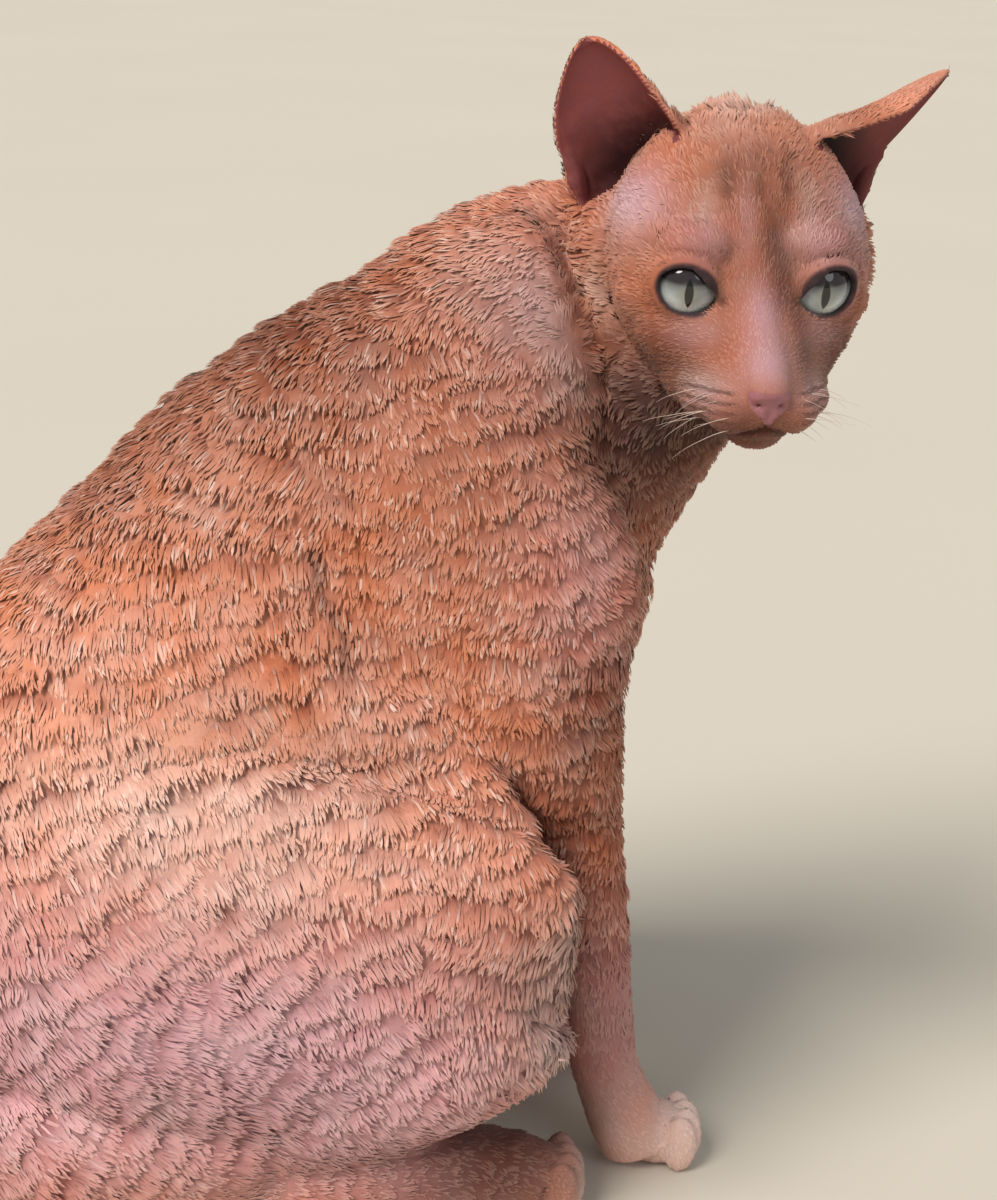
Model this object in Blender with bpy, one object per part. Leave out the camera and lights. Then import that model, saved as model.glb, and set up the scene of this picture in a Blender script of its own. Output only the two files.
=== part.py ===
"""A seated Devon rex cat, life size, as a still model that looks over its right shoulder side.

Design places are (left, forward, up) in millimetres, measured from the floor under the rump.
The cat faces -Y, its left side is +X and up is +Z. At the end everything is moved so that the
bottom centre of the whole model is the origin.
"""

import bisect
import math
import random

import bmesh
import bpy
from mathutils import Matrix, Vector
from mathutils.bvhtree import BVHTree

MM = 0.001
GAP = 0.3 * MM
RING = 20

# How far the core of the curly coat lies below the tips of its clumps, on the trunk and the legs.
CORE_INSET = 5.2
CORE_INSET_LEG = 1.0

# One clump of the curled coat: a bent, rounded ridge across the lie of the hair.
CLUMP_LENGTH = 56.0
CLUMP_WIDTH = 19.0
CLUMP_HEIGHT = 5.0
CLUMP_ROOT = 2.4
CLUMP_BOW = 6.0
CLUMP_VARIATION = 0.2
# A clump's surface turns no further than this cosine from its seat's, or it is made shorter.
CLUMP_WRAP = 0.1
SHORT_CLUMP = 0.5
# Ahead of this place, on the chest and throat, the curls are short too.
CHEST_FORWARD = 140
# Places along the clump, in half lengths, with the share of its width and height there.
CLUMP_STATIONS = (
    (-1.0, 0.3), (-0.82, 0.68), (-0.45, 0.93), (0.0, 1.0), (0.45, 0.93), (0.82, 0.68), (1.0, 0.3)
)
# Its section: the way along the lie in widths, and the height in heights; at 0 it is rooted.
CLUMP_SECTION = (
    (-0.56, 0.0), (-0.36, 0.52), (-0.12, 0.9), (0.12, 1.0), (0.3, 0.8), (0.41, 0.4), (0.44, 0.0)
)
CLUMP_SPACING = (45.0, 16.5)
CLUMP_SEED = 7
CLUMP_TRIES = 5000
CLUMP_SOLVER = "MANIFOLD"
COAT_SMOOTHING = 2

# Voxel sizes of the blended forms, and the triangles that each keeps.
VOXEL_CORE = 3.2
VOXEL_COAT = 1.8
VOXEL_HEAD = 1.7
VOXEL_PAW = 1.5
FACES_CORE = 6000
FACES_COAT = 7700
FACES_HEAD = 1300
FACES_FOREPAW = 300
FACES_HINDPAW = 300

# The trunk and neck: top (forward, up), bottom (forward, up), half width, all over the coat.
TRUNK = [
    ((-95, 60), (-72, 2), 32),
    ((-92, 96), (-47, -7), 54),
    ((-78, 133), (-8, -6), 66),
    ((-53, 167), (26, 8), 70),
    ((-19, 199), (60, 30), 70),
    ((11, 228), (96, 58), 66),
    ((36, 253), (128, 92), 60),
    ((70, 280), (158, 134), 53),
    ((113, 303), (182, 172), 46),
    ((137, 312), (184, 205), 36),
    ((146, 302), (187, 222), 26),
]
NECK = [
    ((2, 134, 250), 36, 50),
    ((2, 155, 258), 32, 42),
    ((-2, 177, 268), 28, 32),
    ((-8, 196, 280), 24, 26),
]
NAPE = [
    ((2, 92, 262), 16, 18),
    ((6, 116, 280), 21, 23),
    ((11, 138, 290), 20, 24),
    ((14, 160, 297), 17, 22),
    ((11, 182, 299), 13, 17),
]
THROAT = [
    ((0, 153, 206), 30, 32),
    ((-8, 169, 236), 27, 29),
    ((-18, 186, 262), 24, 25),
    ((-24, 198, 276), 18, 20),
]

# Tubes: (left, forward, up), half width across, half depth, for the cat's right side.
SHOULDER = [
    ((-20, 100, 262), 12, 18),
    ((-33, 110, 244), 17, 34),
    ((-38, 124, 222), 20, 43),
    ((-41, 135, 198), 20, 44),
    ((-43, 143, 174), 18, 34),
    ((-44, 152, 150), 14, 21),
]
FORELEG = [
    ((-43, 148, 170), 16, 23),
    ((-43, 155, 148), 13.5, 18),
    ((-40, 160, 132), 12, 13.5),
    ((-37, 165, 104), 10.8, 12.3),
    ((-35, 168, 80), 10.4, 12),
    ((-34, 171, 58), 10.4, 11.6),
    ((-34, 174, 40), 11, 11.3),
    ((-34, 178, 22), 11.5, 12),
]
THIGH = [
    ((-40, -14, 78), 26, 62),
    ((-47, 14, 84), 32, 75),
    ((-51, 44, 87), 31, 77),
    ((-55, 80, 88), 29, 73),
    ((-61, 108, 95), 25, 62),
    ((-67, 133, 101), 18, 45),
    ((-70, 154, 99), 12, 27),
]
FLANK_FOLD = [
    ((-44, 84, 142), 16, 38),
    ((-52, 108, 136), 14, 33),
    ((-58, 126, 128), 12, 27),
    ((-64, 138, 118), 9, 18),
]
BREECH = [
    ((-40, -44, 24), 18, 18),
    ((-48, -22, 25), 24, 26),
    ((-54, 10, 25), 25, 27),
    ((-58, 44, 24), 20, 24),
    ((-60, 64, 24), 14, 16),
]
SHANK = [
    ((-67, 141, 84), 15, 24),
    ((-65, 118, 62), 17, 26),
    ((-60, 88, 44), 16, 25),
    ((-56, 56, 29), 13, 18),
    ((-55, 36, 18), 11, 15),
]
INSTEP = [
    ((-55, 34, 17), 11, 14),
    ((-57, 58, 12.5), 10.5, 12.5),
    ((-58, 95, 13), 12, 13.5),
    ((-58, 124, 15), 14, 15.5),
    ((-58, 140, 14), 14, 14),
]
TAIL = [
    ((0, -66, 36), 15, 15),
    ((0, -88, 24), 14, 14),
    ((6, -106, 13.5), 12.5, 12.5),
    ((28, -124, 11.2), 11.5, 11.5),
    ((60, -124, 10.4), 10.7, 10.7),
    ((90, -106, 9.9), 10.2, 10.2),
    ((108, -76, 9.2), 9.5, 9.5),
    ((114, -42, 8.4), 8.7, 8.7),
    ((111, -8, 7.4), 7.7, 7.7),
    ((101, 20, 6), 6.3, 6.3),
    ((92, 36, 4.2), 4.5, 4.5),
]
TAIL_STUB = 3
TAIL_PARTS = [("tail_base", 2.45, 5.2), ("tail_middle", 5.2, 7.9), ("tail_tip", 7.9, 10.0)]
# The left foreleg stands a little behind the right one, so the camera's side hides it.
LEFT_FOOT_SHIFT = Vector((-8, -15, 0))

WRIST_UP = 27.0
ANKLE_FORWARD = 124.0
FOOT_ROOM = ((-80, -36), (ANKLE_FORWARD, 180.0), (-12.0, 32.0))

# The head, in its own space: (left, forward, up) from the point between the eyes.
HEAD_PLACE = (-50, 201, 297)
HEAD_TURN = math.radians(87.8)
HEAD_NOD = math.radians(6.4)
# Sections of the head from back to front: forward, half width, top, bottom.
HEAD_SECTIONS = [
    (-73, 7, 12, -6),
    (-69, 19, 22, -18),
    (-60, 29, 32, -27),
    (-48, 35, 38, -33),
    (-34, 38, 39, -37),
    (-21, 37, 31, -39),
    (-12, 33, 20, -40),
    (-5, 27, 8, -41),
    (2, 20, -3, -42),
    (9, 16, -10, -42),
    (15, 12.5, -16, -41),
    (19.5, 9, -21, -38),
    (22.5, 3.5, -25, -33),
]
HEAD_PAIRS = [
    ((24, -20, -9), (13, 14, 11)),
    ((22, -43, -12), (15, 22, 19)),
    ((7.6, 13.5, -31), (9.2, 9, 7.4)),
    ((16, -11, 7), (12, 9, 8)),
    ((14, -12, -29), (11, 20, 9)),
]
HEAD_BALLS = [
    ((0, 9, -39.5), (9, 8, 5.5)),
    ((0, -4, -34), (14, 16, 9)),
]
NOSE_BRIDGE = [
    ((0, -13, 3), 9, 8),
    ((0, -5, -5), 8, 7),
    ((0, 4, -13), 7.6, 6.6),
    ((0, 13, -19.5), 7.2, 6.2),
    ((0, 19.5, -24), 6.4, 5.2),
    ((0, 22, -26.5), 5, 3.8),
]
EYE_RADIUS = 10.2
EYE_SEGMENTS = 12
EYE_PLACE = (18.3, -10.6, -2.6)
EYE_OUTWARD = math.radians(12)
# The lids: a cover of this thickness over the eyeball, and the half sizes of its opening.
LID_COVER = 2.4
LID_OPENING = (8.6, 7.5)
LID_SLANT = math.radians(14)
LID_FLARE = 1.45
LID_STEPS = 18
MOUTH_LINE = [(-18, -1, -34), (-15, 8, -36.5), (-8, 16, -37.5), (0, 22, -35)]
PHILTRUM = [(0, 23, -29), (0, 24, -32), (0, 22, -35.5)]
MOUTH_WIDTH = 0.9

# Ears in the head's space: inner and outer end of the root, tip, and how far the cup turns back.
EARS = {
    "ear_right": ((-18, -30, 31), (-39, -50, 2), (-46.5, -51, 54), 0),
    "ear_left": ((18, -30, 31), (40, -50, 2), (65.5, -52, 45.5), math.radians(34)),
}
EAR_WALL = 1.6
EAR_DEPTH = 15.0
EAR_SUNK = 0.34
# How far the outer and the inner edge of an ear swell beyond a plain point.
EAR_SWELL = (0.16, -0.12)
EAR_ROWS = 8
EAR_COLUMNS = 8

# Plain closed forms that part each leg from the trunk, for the cat's right side.
FORE_CELL = [
    ((-43, 146, 177), 4, 4),
    ((-43, 147, 172), 17, 19),
    ((-43, 151, 160), 20, 22),
    ((-42, 157, 142), 15.5, 17),
    ((-39, 163, 118), 13.4, 15.5),
    ((-36, 168, 80), 13, 15.5),
    ((-34, 171, 58), 13.2, 16),
    ((-34, 176, 24), 16, 20),
    ((-34, 178, -14), 16, 20),
]
HIND_CELL = [
    ((-50, -20, 74), 8, 14),
    ((-54, -10, 74), 28, 50),
    ((-60, 20, 74), 38, 78),
    ((-65, 60, 74), 42, 90),
    ((-70, 100, 74), 42, 90),
    ((-74, 140, 74), 38, 90),
    ((-74, 160, 74), 38, 90),
]
# The plane that parts the neck from the trunk: a point on it and the way to the head.
NECK_PLANE = ((0, 140, 255), (0, 0.83, 0.56))
EYE_ROOM = 0.35

# The lie of the coat: a place on the cat's right side or middle, and the way the hair points there.
LIE = [
    ((-50, 59, 240), (-0.2, -0.45, -0.89)),
    ((-45, 72, 253), (-0.2, -0.14, -0.99)),
    ((-60, 24, 220), (-0.1, 0.08, -1.0)),
    ((-66, 43, 192), (0.0, 0.35, -0.93)),
    ((-64, 0, 193), (-0.1, 0.3, -0.95)),
    ((-45, 107, 256), (-0.2, 0.4, -0.9)),
    ((-60, 112, 206), (0.0, -0.32, -0.95)),
    ((-62, 95, 193), (0.0, 0.14, -0.99)),
    ((-30, 165, 196), (0.2, 0.45, -0.9)),
    ((-78, 54, 108), (0.0, 0.65, -0.76)),
    ((-78, 76, 118), (0.0, 0.23, -0.97)),
    ((-76, 91, 143), (0.0, 0.15, -0.98)),
    ((-78, 45, 76), (0.0, 0.95, -0.3)),
    ((-82, 85, 100), (0.0, 0.57, -0.82)),
    ((-76, 118, 110), (0.0, -0.2, -0.98)),
    ((-70, 148, 99), (0.0, -0.39, -0.92)),
    ((-70, 3, 129), (0.0, 0.6, -0.8)),
    ((-60, -30, 110), (-0.1, 0.2, -0.95)),
    ((-60, 20, 40), (0.0, 0.8, -0.5)),
    ((-62, 90, 50), (0.0, 0.8, -0.5)),
    ((0, 113, 303), (0.0, -0.8, -0.5)),
    ((0, 39, 251), (0.0, -0.75, -0.65)),
    ((0, -30, 190), (0.0, -0.65, -0.75)),
    ((0, -80, 110), (0.0, -0.3, -0.95)),
    ((-20, 135, 300), (-0.3, -0.7, -0.5)),
    ((-34, 150, 245), (-0.1, 0.1, -1.0)),
    ((0, 184, 240), (0.0, 0.3, -0.95)),
    ((0, 182, 190), (0.0, 0.1, -1.0)),
    ((0, 168, 150), (0.0, -0.2, -0.95)),
    ((-40, 160, 140), (0.0, 0.1, -1.0)),
]
# Surfaces that face the body's middle have no clumps ahead of this place and below this height.
INNER_THIGH = (40, 185)
# No clump is set where one of these boxes is: (lefts, forwards, ups).
BARE_ROOMS = [
    ((-120, 120), (-200, 260), (-20, 12)),
    ((-38, 38), (40, 170), (-20, 150)),
    ((-60, 60), (112, 260), (-20, 146)),
    ((-95, 95), (110, 260), (-20, 52)),
    ((-85, 38), (160, 260), (238, 400)),
    ((-34, 34), (-140, -60), (-20, 64)),
]


def at(place):
    left, forward, up = place
    return Vector((left, -forward, up)) * MM


def mirrored(stations):
    return [((-left, forward, up), a, b) for (left, forward, up), a, b in stations]


def head_frame():
    turn = Matrix.Rotation(-HEAD_TURN, 4, "Z") @ Matrix.Rotation(HEAD_NOD, 4, "X")
    return Matrix.Translation(at(HEAD_PLACE)) @ turn


def material(name, colour, roughness):
    made = bpy.data.materials.new(name)
    made.use_nodes = True
    shader = made.node_tree.nodes["Principled BSDF"]
    shader.inputs["Base Color"].default_value = (*colour, 1.0)
    shader.inputs["Roughness"].default_value = roughness
    return made


def new_object(name, bm):
    mesh = bpy.data.meshes.new(name)
    bm.to_mesh(mesh)
    bm.free()
    obj = bpy.data.objects.new(name, mesh)
    bpy.context.scene.collection.objects.link(obj)
    return obj


def remove(obj):
    mesh = obj.data
    bpy.data.objects.remove(obj)
    bpy.data.meshes.remove(mesh)


def apply_modifiers(obj):
    graph = bpy.context.evaluated_depsgraph_get()
    mesh = bpy.data.meshes.new_from_object(obj.evaluated_get(graph))
    old = obj.data
    obj.modifiers.clear()
    obj.data = mesh
    bpy.data.meshes.remove(old)


def catmull(a, b, c, d, t):
    return 0.5 * (2 * b + (c - a) * t + (2 * a - 5 * b + 4 * c - d) * t * t + (3 * b - a - 3 * c + d) * t**3)


def along(values, place):
    """A smooth value at a fractional place on a list of numbers or vectors."""
    last = len(values) - 1
    index = min(int(place), last - 1)
    before = values[max(index - 1, 0)]
    after = values[min(index + 2, last)]
    return catmull(before, values[index], values[index + 1], after, place - index)


def bridged_rings(bm, matrices, segments=RING):
    """A closed tube through one flat round ring for each matrix."""
    loops = []
    for number, matrix in enumerate(matrices):
        ends = number in (0, len(matrices) - 1)
        ring = bmesh.ops.create_circle(
            bm, cap_ends=ends, segments=segments, radius=1.0, matrix=matrix
        )
        own = set(ring["verts"])
        loops.append([e for v in ring["verts"] for e in v.link_edges if set(e.verts) <= own])
    for one, two in zip(loops, loops[1:]):
        bmesh.ops.bridge_loops(bm, edges=list(set(one + two)))
    bmesh.ops.recalc_face_normals(bm, faces=bm.faces)


def ring_matrix(centre, across, up):
    normal = across.cross(up).normalized() * MM
    columns = Matrix((across, up, normal)).transposed().to_4x4()
    return Matrix.Translation(centre) @ columns


def tube(name, stations, inset=0.0, steps=3, first=0.0, final=None, segments=RING):
    """A smooth tube of oval section; its half depth lies in the plane of up and forward."""
    places = [at(place) for place, _, _ in stations]
    widths = [width - inset for _, width, _ in stations]
    depths = [depth - inset for _, _, depth in stations]
    final = len(stations) - 1 if final is None else final
    count = max(2, round((final - first) * steps) + 1)
    matrices = []
    side = None
    for number in range(count):
        t = first + (final - first) * number / (count - 1)
        ahead = along(places, min(t + 0.05, len(places) - 1)) - along(places, max(t - 0.05, 0))
        ahead.normalize()
        if side is None:
            level = Vector((0, 0, 1)) if abs(ahead.x) > 0.8 else Vector((1, 0, 0))
            side = level - ahead * level.dot(ahead)
        side = (side - ahead * side.dot(ahead)).normalized()
        up = ahead.cross(side)
        across = side * along(widths, t) * MM
        matrices.append(ring_matrix(along(places, t), across, up * along(depths, t) * MM))
    bm = bmesh.new()
    bridged_rings(bm, matrices, segments)
    return new_object(name, bm)


def trunk(name, inset):
    tops = [at((0, *top)) for top, _, _ in TRUNK]
    bottoms = [at((0, *bottom)) for _, bottom, _ in TRUNK]
    widths = [width for _, _, width in TRUNK]
    matrices = []
    steps = 3
    for number in range((len(TRUNK) - 1) * steps + 1):
        t = number / steps
        top, bottom = along(tops, t), along(bottoms, t)
        up = (top - bottom) / 2
        up *= 1 - inset * MM / up.length
        across = Vector(((along(widths, t) - inset) * MM, 0, 0))
        matrices.append(ring_matrix((top + bottom) / 2, across, up))
    bm = bmesh.new()
    bridged_rings(bm, matrices)
    return new_object(name, bm)


def ball(name, centre, radii, inset=0.0, segments=20, turn=None):
    bm = bmesh.new()
    scale = Matrix.Diagonal([*((radius - inset) * MM for radius in radii), 1])
    matrix = Matrix.Translation(at(centre)) @ (turn or Matrix.Identity(4)) @ scale
    bmesh.ops.create_uvsphere(
        bm, u_segments=segments, v_segments=segments // 2 + 2, radius=1.0, matrix=matrix
    )
    return new_object(name, bm)


def soften(form, voxel, smoothing, faces):
    """Makes one flowing surface of a closed form, in about this many triangles."""
    remesh = form.modifiers.new("Blend", "REMESH")
    remesh.mode = "VOXEL"
    remesh.voxel_size = voxel * MM
    smooth = form.modifiers.new("Soften", "SMOOTH")
    smooth.factor = 0.5
    smooth.iterations = smoothing
    apply_modifiers(form)
    thin = form.modifiers.new("Thin", "DECIMATE")
    thin.ratio = min(1.0, faces / (2 * len(form.data.polygons)))
    apply_modifiers(form)
    return form


def blend(name, pieces, voxel, smoothing, faces):
    """One closed form that flows over all the pieces."""
    bm = bmesh.new()
    for piece in pieces:
        bm.from_mesh(piece.data)
        remove(piece)
    return soften(new_object(name, bm), voxel, smoothing, faces)


def boolean(obj, other, operation, solver=CLUMP_SOLVER):
    cut = obj.modifiers.new(operation.title(), "BOOLEAN")
    cut.operation = operation
    cut.solver = solver
    cut.object = other
    apply_modifiers(obj)


def copy_of(obj, name):
    made = bpy.data.objects.new(name, obj.data.copy())
    bpy.context.scene.collection.objects.link(made)
    return made


def grown(obj, distance):
    """A copy of the object pushed outwards, to cut room for it with a gap."""
    made = copy_of(obj, obj.name + "_room")
    push = made.modifiers.new("Push", "DISPLACE")
    push.strength = distance
    push.mid_level = 0.0
    apply_modifiers(made)
    return made


def six_volumes(face):
    """Six times the volume between a face and the origin, with its sign."""
    first, *others = (vert.co for vert in face.verts)
    return sum(first.dot(one.cross(two)) for one, two in zip(others, others[1:]))


def keep_largest(obj):
    """Keeps the largest closed surface, which fills sealed hollows and drops loose scraps."""
    bm = bmesh.new()
    bm.from_mesh(obj.data)
    left = set(bm.verts)
    best, best_volume = None, 0.0
    while left:
        island, front = set(), [next(iter(left))]
        while front:
            vert = front.pop()
            if vert in island:
                continue
            island.add(vert)
            front.extend(e.other_vert(vert) for e in vert.link_edges)
        left -= island
        volume = sum(six_volumes(face) for face in {f for v in island for f in v.link_faces})
        if best is None or volume > best_volume:
            best, best_volume = island, volume
    bmesh.ops.delete(bm, geom=[v for v in bm.verts if v not in best], context="VERTS")
    bm.to_mesh(obj.data)
    bm.free()


def triangulate(obj):
    """Splits all faces into triangles, and welds a point that lies along an edge of two flat ones."""
    bm = bmesh.new()
    bm.from_mesh(obj.data)
    bmesh.ops.triangulate(bm, faces=bm.faces)
    crowded = [edge for edge in bm.edges if len(edge.link_faces) > 2]
    while crowded:
        targets = {}
        for edge in crowded:
            one, two = edge.verts
            flat = min(edge.link_faces, key=lambda face: face.calc_area())
            middle = next(vert for vert in flat.verts if vert not in edge.verts)
            near_one = (middle.co - one.co).length < (middle.co - two.co).length
            targets[middle] = one if near_one else two
        bmesh.ops.weld_verts(bm, targetmap=targets)
        crowded = [edge for edge in bm.edges if len(edge.link_faces) > 2]
    bm.to_mesh(obj.data)
    bm.free()


def trim(obj, point, normal):
    """Cuts off all that lies beyond the plane, on the side that its normal points to."""
    bm = bmesh.new()
    bm.from_mesh(obj.data)
    geometry = bm.verts[:] + bm.edges[:] + bm.faces[:]
    cut = bmesh.ops.bisect_plane(
        bm, geom=geometry, dist=1e-7, plane_co=point, plane_no=normal, clear_outer=True
    )
    edges = [e for e in cut["geom_cut"] if isinstance(e, bmesh.types.BMEdge)]
    bmesh.ops.triangle_fill(bm, edges=edges, use_beauty=True, normal=normal)
    bmesh.ops.recalc_face_normals(bm, faces=bm.faces)
    bm.to_mesh(obj.data)
    bm.free()
    keep_largest(obj)


def rest_on_floor(obj):
    trim(obj, Vector((0, 0, 0)), Vector((0, 0, -1)))


def finish(obj, name, look):
    triangulate(obj)
    obj.name = name
    obj.data.name = name
    obj.data.materials.clear()
    obj.data.materials.append(look)
    obj.data.shade_smooth()
    obj.data.set_sharp_from_angle(angle=math.radians(40))
    return obj


def lie_at(place, normal):
    """The way the hair lies at a place of the coat, along its surface."""
    way = Vector((0, 0, 0))
    for (left, forward, up), (to_left, ahead, rise) in LIE:
        for side in (1, -1):
            away = (place - at((side * left, forward, up))).length / MM
            way += Vector((side * to_left, -ahead, rise)) / (away * away + 120.0)
    way -= normal * way.dot(normal)
    return way.normalized()


def is_bare(place, normal):
    """Whether no clump grows here: the inner thighs, belly, legs and the skull's own room."""
    left, forward, up = place.x / MM, -place.y / MM, place.z / MM
    inward = normal.x * math.copysign(1, place.x) < -0.3
    if inward and forward > INNER_THIGH[0] and up < INNER_THIGH[1]:
        return True
    for lefts, forwards, ups in BARE_ROOMS:
        inside = lefts[0] < left < lefts[1] and forwards[0] < forward < forwards[1]
        if inside and ups[0] < up < ups[1]:
            return True
    return False


def length_share(place):
    """How long a clump is here, against those of the back."""
    return SHORT_CLUMP if -place.y / MM > CHEST_FORWARD else 1.0


def clump_places(core, draw):
    """Seats for the clumps: spread evenly, farther apart across the lie than along it."""
    bm = bmesh.new()
    bm.from_mesh(core.data)
    bmesh.ops.triangulate(bm, faces=bm.faces)
    faces = list(bm.faces)
    sums = []
    total = 0.0
    for face in faces:
        total += face.calc_area()
        sums.append(total)
    seats = []
    for _ in range(CLUMP_TRIES):
        face = faces[bisect.bisect_left(sums, draw.random() * total)]
        one, two = draw.random(), draw.random()
        if one + two > 1:
            one, two = 1 - one, 1 - two
        a, b, c = (vert.co for vert in face.verts)
        place = a + (b - a) * one + (c - a) * two
        if is_bare(place, face.normal):
            continue
        normal = face.normal.copy()
        lie = lie_at(place, normal)
        crest = normal.cross(lie)
        across = CLUMP_SPACING[0] * length_share(place)
        near = False
        for other, _, _ in seats:
            away = (place - other) / MM
            if (away.dot(crest) / across) ** 2 + (away.dot(lie) / CLUMP_SPACING[1]) ** 2 < 1:
                near = abs(away.dot(normal)) < CLUMP_SPACING[1]
                if near:
                    break
        if not near:
            seats.append((place, normal, lie))
    bm.free()
    return seats


def clump_rings(seat, tree, sizes):
    """The sections of one clump on the core, or None where it would wrap round to another limb."""
    place, normal, lie = seat
    length, width, height, bow = sizes
    crest = normal.cross(lie)
    rings = []
    for s, taper in CLUMP_STATIONS:
        sagged = lie * (-bow * s * s * MM)
        ring = []
        for t, rise in CLUMP_SECTION:
            spot = place + crest * (s * length / 2 * MM) + lie * (t * width * taper * MM) + sagged
            found, out, _, _ = tree.find_nearest(spot)
            if out.dot(normal) < CLUMP_WRAP or is_bare(found, out):
                return None
            up = rise * height * taper if rise else -CLUMP_ROOT
            if abs(s) == 1.0:
                up = -CLUMP_ROOT * (0.5 if rise else 1.7)
            ring.append(found + (out + normal).normalized() * up * MM)
        rings.append(ring)
    return rings


def clump(seat, tree, draw):
    """A crescent ridge of curled hair that follows the core and is rooted in it, or None."""
    sizes = [
        size * draw.uniform(1 - CLUMP_VARIATION, 1 + CLUMP_VARIATION)
        for size in (CLUMP_LENGTH, CLUMP_WIDTH, CLUMP_HEIGHT, CLUMP_BOW)
    ]
    rings = None
    share = length_share(seat[0])
    for share in (share, share * SHORT_CLUMP):
        if rings is None:
            rings = clump_rings(seat, tree, (sizes[0] * share, sizes[1], sizes[2], sizes[3] * share))
    if rings is None:
        return None
    bm = bmesh.new()
    rows = [[bm.verts.new(spot) for spot in ring] for ring in rings]
    for one, two in zip(rows, rows[1:]):
        for i in range(len(one)):
            j = (i + 1) % len(one)
            bm.faces.new((one[i], one[j], two[j], two[i]))
    bm.faces.new(rows[0])
    bm.faces.new(reversed(rows[-1]))
    bmesh.ops.triangulate(bm, faces=bm.faces)
    bmesh.ops.recalc_face_normals(bm, faces=bm.faces)
    return new_object("clump", bm)


def curled(core):
    """Fuses the clumps of the coat with the core by one union."""
    draw = random.Random(CLUMP_SEED)
    tree = BVHTree.FromObject(core, bpy.context.evaluated_depsgraph_get())
    clumps = bpy.data.collections.new("clumps")
    bpy.context.scene.collection.children.link(clumps)
    for seat in clump_places(core, draw):
        made = clump(seat, tree, draw)
        if made is None:
            continue
        bpy.context.scene.collection.objects.unlink(made)
        clumps.objects.link(made)
    fuse = core.modifiers.new("Fuse", "BOOLEAN")
    fuse.operation = "UNION"
    fuse.solver = CLUMP_SOLVER
    fuse.operand_type = "COLLECTION"
    fuse.collection = clumps
    apply_modifiers(core)
    for made in list(clumps.objects):
        remove(made)
    bpy.data.collections.remove(clumps)
    keep_largest(core)
    return soften(core, VOXEL_COAT, COAT_SMOOTHING, FACES_COAT)


def body_core(inset_trunk, inset_leg):
    """Trunk, neck, shoulders, legs to the wrist and ankle, and the root of the tail."""
    pieces = [trunk("trunk", inset_trunk)]
    left_foreleg = []
    for (left, forward, up), width, depth in FORELEG:
        place = Vector((-left, forward, up)) + LEFT_FOOT_SHIFT * min(max(170 - up, 0) / 86, 1.0)
        left_foreleg.append((tuple(place), width, depth))
    for stations in (THROAT, NECK, NAPE):
        pieces.append(tube("neck", stations, inset_trunk * 0.7))
    for side in (SHOULDER, mirrored(SHOULDER)):
        pieces.append(tube("shoulder", side, inset_trunk * 0.7))
    for leg in (FORELEG, left_foreleg):
        pieces.append(tube("foreleg", leg, inset_leg * 0.5))
    for stations in (THIGH, FLANK_FOLD, BREECH):
        for side in (stations, mirrored(stations)):
            pieces.append(tube("thigh", side, inset_trunk * 0.8))
    for stations in (SHANK, INSTEP):
        for side in (stations, mirrored(stations)):
            pieces.append(tube("shank", side, inset_leg * 0.6))
    pieces.append(tube("tail_root", TAIL[:TAIL_STUB + 1], 0.5))
    return blend("body", pieces, VOXEL_CORE, 5, FACES_CORE)


def paw(name, centre, heading, sizes, faces):
    """A foot of four toes and a sole, pointing forward from its centre."""
    width, length, height = sizes
    turn = Matrix.Rotation(-heading, 4, "Z")
    base = Vector(centre)
    pieces = []

    def place(side, ahead, up):
        spun = Matrix.Rotation(heading, 2) @ Vector((side, ahead))
        return (base.x + spun.x, base.y + spun.y, up)

    for side, ahead in ((-0.68, 0.42), (-0.25, 0.60), (0.25, 0.60), (0.68, 0.42)):
        radii = (width * 0.27, length * 0.30, height * 0.42)
        spot = place(side * width, ahead * length, height * 0.38)
        pieces.append(ball("toe", spot, radii, 0, 14, turn))
    sole = (width * 0.80, length * 0.62, height * 0.46)
    pieces.append(ball("sole", place(0, 0.05 * length, height * 0.44), sole, 0, 16, turn))
    back = (width * 0.74, length * 0.5, height * 0.52)
    pieces.append(ball("back", place(0, -0.35 * length, height * 0.52), back, 0, 16, turn))
    return pieces


def forepaw(name, foot, faces):
    left, forward, _ = foot
    pieces = paw(name, (left, forward + 14, 0), math.radians(4 if left < 0 else -4), (13.5, 17, 25), faces)
    leg = [
        ((left - math.copysign(2, left), forward - 8, 48), 10.2, 10.8),
        ((left, forward - 3, 32), 11, 11.5),
        ((left, forward + 4, 16), 12, 13),
        ((left, forward + 8, 6), 11, 12),
    ]
    pieces.append(tube("wrist", leg, 0))
    made = blend(name, pieces, VOXEL_PAW, 2, faces)
    trim(made, at((0, 0, WRIST_UP)) - Vector((0, 0, GAP / 2)), Vector((0, 0, 1)))
    rest_on_floor(made)
    return made


def hindpaw(name, side, faces):
    pieces = paw(name, (side * 58, 150, 0), math.radians(-5 * side), (14, 17, 29), faces)
    instep = [((side * abs(left), forward, up), w, d) for (left, forward, up), w, d in INSTEP[2:]]
    instep.append(((side * 58, 150, 12), 13, 12))
    pieces.append(tube("instep", instep, 1.0))
    made = blend(name, pieces, VOXEL_PAW, 2, faces)
    trim(made, at((0, ANKLE_FORWARD, 0)) - Vector((0, GAP / 2, 0)), Vector((0, 1, 0)))
    rest_on_floor(made)
    return made


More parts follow.
